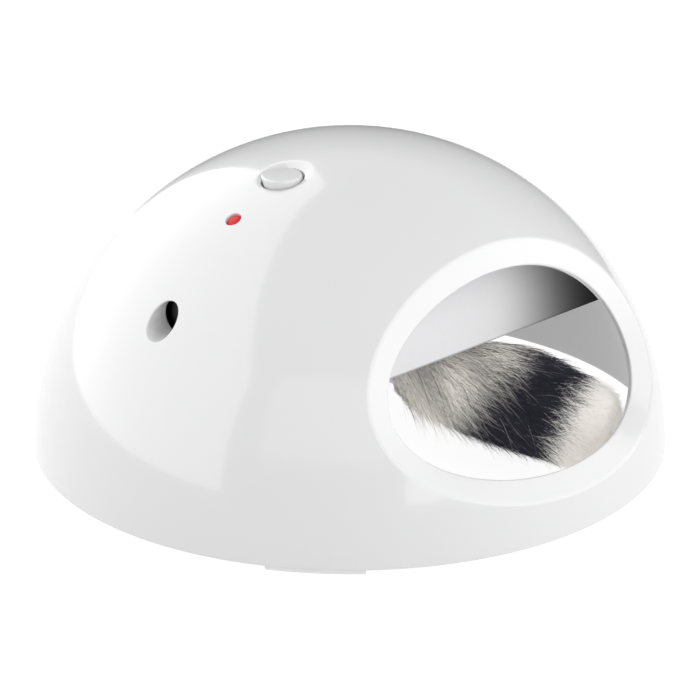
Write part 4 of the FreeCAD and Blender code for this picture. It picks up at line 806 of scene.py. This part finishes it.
# Millimetres along the tail, its radius there, and the backing's share of that radius
SPINDLE = ((20.5, 11.5), (39.8, 16.65), (64.3, 18.5), (86.1, 17.6), (97, 13.2), (104, 7.4), (108, 0.0))
BACKING_SHARES = (0.84, 0.84, 0.80, 0.62, 0.42, 0.3)
# Millimetres along the tail, and how much fuller its upper side is there
SWELL_PLACES = (40, 50, 58, 64, 72, 80, 88, 95, 104)
SWELL = (0.8, 3.6, 4.6, 3.8, 2.2, 0.8, 0.2, 0.8, 2.4)
# Past these limits, near the window and the floor, strands are pressed in
FAR_REACH = 102 * MM
LOW_REACH = 2.6 * MM
PRESSED = 0.35
GREY_BROWN = np.array((0.82, 0.79, 0.745))
DARK_HAIR = np.array((0.12, 0.115, 0.11))
BAND_BLACK = np.array((0.012, 0.012, 0.019))
STRAY_GREY = (0.35, 0.34, 0.36)
CREAM = np.array((0.95, 0.925, 0.895))


def spindle_radius(along):
    """The tail's outer radius at a distance from the rotor's axis, in metres."""
    stations = np.array(SPINDLE) * MM
    return np.interp(along, stations[:, 0], stations[:, 1])


def fur_material(name):
    """Hair: the colour of each strand comes from its own attribute.

    The faint glow stands for the light that pale strands pass on to one another.
    """
    material = new_material(name, Specular_IOR_Level=0.35, Emission_Strength=0.2)
    tree = material.node_tree
    shader = tree.nodes["Principled BSDF"]
    colour = node(tree, "ShaderNodeAttribute", attribute_name="hair_colour")
    grain = node(tree, "ShaderNodeGroup", node_tree=SOFT_GRAIN)
    grain.inputs["Scale"].default_value = 700
    grain.inputs["Amount"].default_value = 0.5
    grain.inputs["Roughness"].default_value = 0.45
    tree.links.new(colour.outputs["Color"], grain.inputs["Colour"])
    tree.links.new(grain.outputs["Colour"], shader.inputs["Base Color"])
    tree.links.new(grain.outputs["Colour"], shader.inputs["Emission Color"])
    tree.links.new(grain.outputs["Roughness"], shader.inputs["Roughness"])
    return material


def zone_colour(rng, along, height, turn):
    """The pile's colour where a strand is rooted: grey brown, a black band and a cream tip."""
    count = len(along)
    patches = (0.92 + 0.17 * np.sin(along / (5 * MM) + 2.3 * turn)
               + 0.12 * np.sin(3 * turn - along / (3.4 * MM)))
    grey = GREY_BROWN * rng.uniform(0.58, 1.12, (count, 1)) * patches[:, None]
    nearing = np.clip((along / MM - 28) / 24, 0, 1)
    dark_mix = rng.random(count) < 0.05 + 0.3 * nearing ** 2 + 0.16 * np.clip(-height, 0, 1)
    grey[dark_mix] = DARK_HAIR * rng.uniform(0.5, 2.2, (dark_mix.sum(), 1))
    black = BAND_BLACK * rng.uniform(0.5, 2.4, (count, 1))
    black[rng.random(count) < 0.03] = STRAY_GREY
    cream = CREAM * rng.uniform(0.72, 1.07, (count, 1))
    place = along / MM + rng.normal(0, 1.6, count)
    before_band = (place < 50.5 + 11 * height)[:, None]
    before_tip = (place < 81 + 2.5 * height)[:, None]
    return np.where(before_band, grey, np.where(before_tip, black, cream))


def spread_strands(rng, count):
    """The lines of strands over the tail as an array of points, and each strand's colour."""
    along = rng.uniform(TAIL_ROOT + 0.8 * MM, TAIL_TIP - 6 * MM, count)
    turn = rng.uniform(0, 2 * np.pi, count)
    way, side, up = (np.array(axis) for axis in (TAIL_WAY, TAIL_SIDE, TAIL_UP))
    normal = np.cos(turn)[:, None] * side + np.sin(turn)[:, None] * up
    radius = spindle_radius(along) * rng.uniform(0.62, 0.9, count)
    swell = np.interp(along / MM, SWELL_PLACES, SWELL) * MM
    above, below = np.clip(normal[:, 2], 0, 1), np.clip(-normal[:, 2], 0, 1)
    radius += swell * above - MM * below
    radius *= 1 - 0.25 * np.clip((along / MM - 92) / 12, 0, 1) * rng.random(count)
    root = np.array(TAIL_START) + along[:, None] * way + radius[:, None] * normal
    down = np.array((0, 0, -1.0)) + normal * normal[:, 2:3]
    share = np.clip((along - TAIL_ROOT) / (TAIL_TIP - TAIL_ROOT), 0, 1)
    waves = (np.sin(along / (5.5 * MM) + 3 * turn) * 0.15
             + np.sin(turn * 9 + along / (9 * MM)) * 0.14)
    across = np.cross(way, normal)
    fall = 0.08 + 0.75 * (1 - share) ** 3
    flow = way + down * fall[:, None] + across * (waves + rng.normal(0, 0.23, count))[:, None]
    flow /= np.linalg.norm(flow, axis=1)[:, None]
    length = rng.uniform(9, 20, count) * MM * (1 - 0.35 * share) * (1 - 0.3 * below)
    bend = rng.normal(0, 0.2, count)
    lift = rng.uniform(0.22, 0.42, count)
    droop = np.array((0, 0, -0.07))
    points = []
    for step in np.linspace(0, 1, STRAND_POINTS):
        rise = (lift * step * (1 - 0.55 * step))[:, None]
        bow = (bend * step ** 2)[:, None]
        way_out = flow * step + normal * rise + droop * step ** 2 + across * bow
        points.append(root + way_out * length[:, None])
    points = np.stack(points, axis=1)
    reach = np.linalg.norm(points[..., :2], axis=-1)
    kept = np.minimum(reach, FAR_REACH + (reach - FAR_REACH) * PRESSED)
    points[..., :2] *= (kept / reach)[..., None]
    points[..., 2] = np.maximum(points[..., 2], LOW_REACH + (points[..., 2] - LOW_REACH) * PRESSED)
    return points, zone_colour(rng, along, normal[:, 2], turn)


def colour_hair(mesh, colours):
    """Writes a colour for each vertex of a mesh, which the fur's material reads."""
    rgba = np.ones((len(mesh.vertices), 4))
    rgba[:, :3] = colours
    shade = mesh.attributes.new("hair_colour", "FLOAT_COLOR", "POINT")
    shade.data.foreach_set("color", rgba.ravel())


def strand_section():
    """A strand's three-sided outline."""
    curve = bpy.data.curves.new("strand_section", "CURVE")
    curve.dimensions = "2D"
    spline = curve.splines.new("POLY")
    spline.points.add(STRAND_SIDES - 1)
    for number, point in enumerate(spline.points):
        turn = 2 * math.pi * number / STRAND_SIDES
        point.co = (STRAND_RADIUS * math.cos(turn), STRAND_RADIUS * math.sin(turn), 0, 1)
    spline.use_cyclic_u = True
    return placed("strand_section", curve)


def strand_piece(name, rng, section, material):
    """Many strands as one mesh of thin tapering tubes."""
    lines, colour = spread_strands(rng, STRANDS)
    curve = bpy.data.curves.new(name, "CURVE")
    curve.dimensions = "3D"
    curve.bevel_mode = "OBJECT"
    curve.bevel_object = section
    curve.use_fill_caps = True
    for line in lines:
        spline = curve.splines.new("POLY")
        spline.points.add(STRAND_POINTS - 1)
        flat = np.ones((STRAND_POINTS, 4))
        flat[:, :3] = line
        spline.points.foreach_set("co", flat.ravel())
        spline.points.foreach_set("radius", STRAND_WIDTHS)
    holder = placed(name, curve)
    bpy.context.view_layer.update()
    shaped = holder.evaluated_get(bpy.context.evaluated_depsgraph_get())
    mesh = bpy.data.meshes.new_from_object(shaped)
    bpy.data.objects.remove(holder)
    bpy.data.curves.remove(curve)
    mesh.materials.clear()
    mesh.name = name
    # The mesh holds every strand's two caps, last strand first, and then every strand's tube
    strands = np.arange(STRANDS)
    caps = np.repeat(strands[::-1], 2 * STRAND_SIDES)
    tubes = np.repeat(strands, STRAND_POINTS * STRAND_SIDES)
    colour_hair(mesh, colour[np.concatenate((caps, tubes))])
    return finished(name, mesh, material, "rotor")


def backing_mesh(rng):
    """The soft body under the pile, in the pile's colours a little darker."""
    bm = bmesh.new()
    profile = [(TAIL_ROOT, 0)]
    for (along, radius), share in zip(SPINDLE, BACKING_SHARES):
        profile.append((along * MM, radius * MM * share))
    profile.append((TAIL_TIP - 3 * MM, 0))
    verts = [bm.verts.new(TAIL_START + TAIL_WAY * along + TAIL_UP * radius)
             for along, radius in profile]
    edges = [bm.edges.new(pair) for pair in zip(verts, verts[1:])]
    bmesh.ops.subdivide_edges(bm, edges=edges, cuts=5)
    bmesh.ops.spin(bm, geom=[*bm.verts, *bm.edges], cent=TAIL_START, axis=TAIL_WAY,
                   angle=2 * math.pi, steps=48, use_merge=True, use_duplicate=False)
    for _ in range(4):
        bmesh.ops.smooth_vert(bm, verts=bm.verts, factor=0.5,
                              use_axis_x=True, use_axis_y=True, use_axis_z=True)
    mesh = to_mesh(bm, "fur_backing", 180)
    places = np.zeros(len(mesh.vertices) * 3)
    mesh.vertices.foreach_get("co", places)
    along = (places.reshape(-1, 3) - np.array(TAIL_START)) @ np.array(TAIL_WAY)
    colour_hair(mesh, zone_colour(rng, along, np.zeros(len(along)), along / MM) * 0.8)
    return mesh


def fur_tail():
    """The backing and the piles of strands that stand for the soft tail."""
    rng = np.random.default_rng(SEED)
    material = fur_material("tail_fur")
    backing = finished("fur_backing", backing_mesh(rng), material, "rotor")
    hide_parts("fur_tail")
    section = strand_section()
    for number in range(PILES):
        piece = strand_piece(f"fur_pile_{number + 1}", rng, section, material)
        piece.visible_shadow = False
        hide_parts("fur_tail")
    bpy.data.objects.remove(section)


bpy.context.scene.view_settings.view_transform = "Standard"
add_camera()
add_world()
add_floor()
add_card()
add_panel("left_light", -70, 0.9, 0.02, 2.2, 1.3, 2.6, 1.5)
add_panel("right_light", 110, 1.2, 0.02, 1.5, 1.24, 1.3, 1.8)
add_panel("front_light", 35, 2.2, 0.6, 2.2, 0.9, 0.9, 0.6)

dress_frame()
dome = finished("dome_skin", dome_mesh(), MATERIALS["dome_plastic"], "housing")
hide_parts("dome_shell")
button_cap()
indicator_light()
foot_pads()
fur_tail()
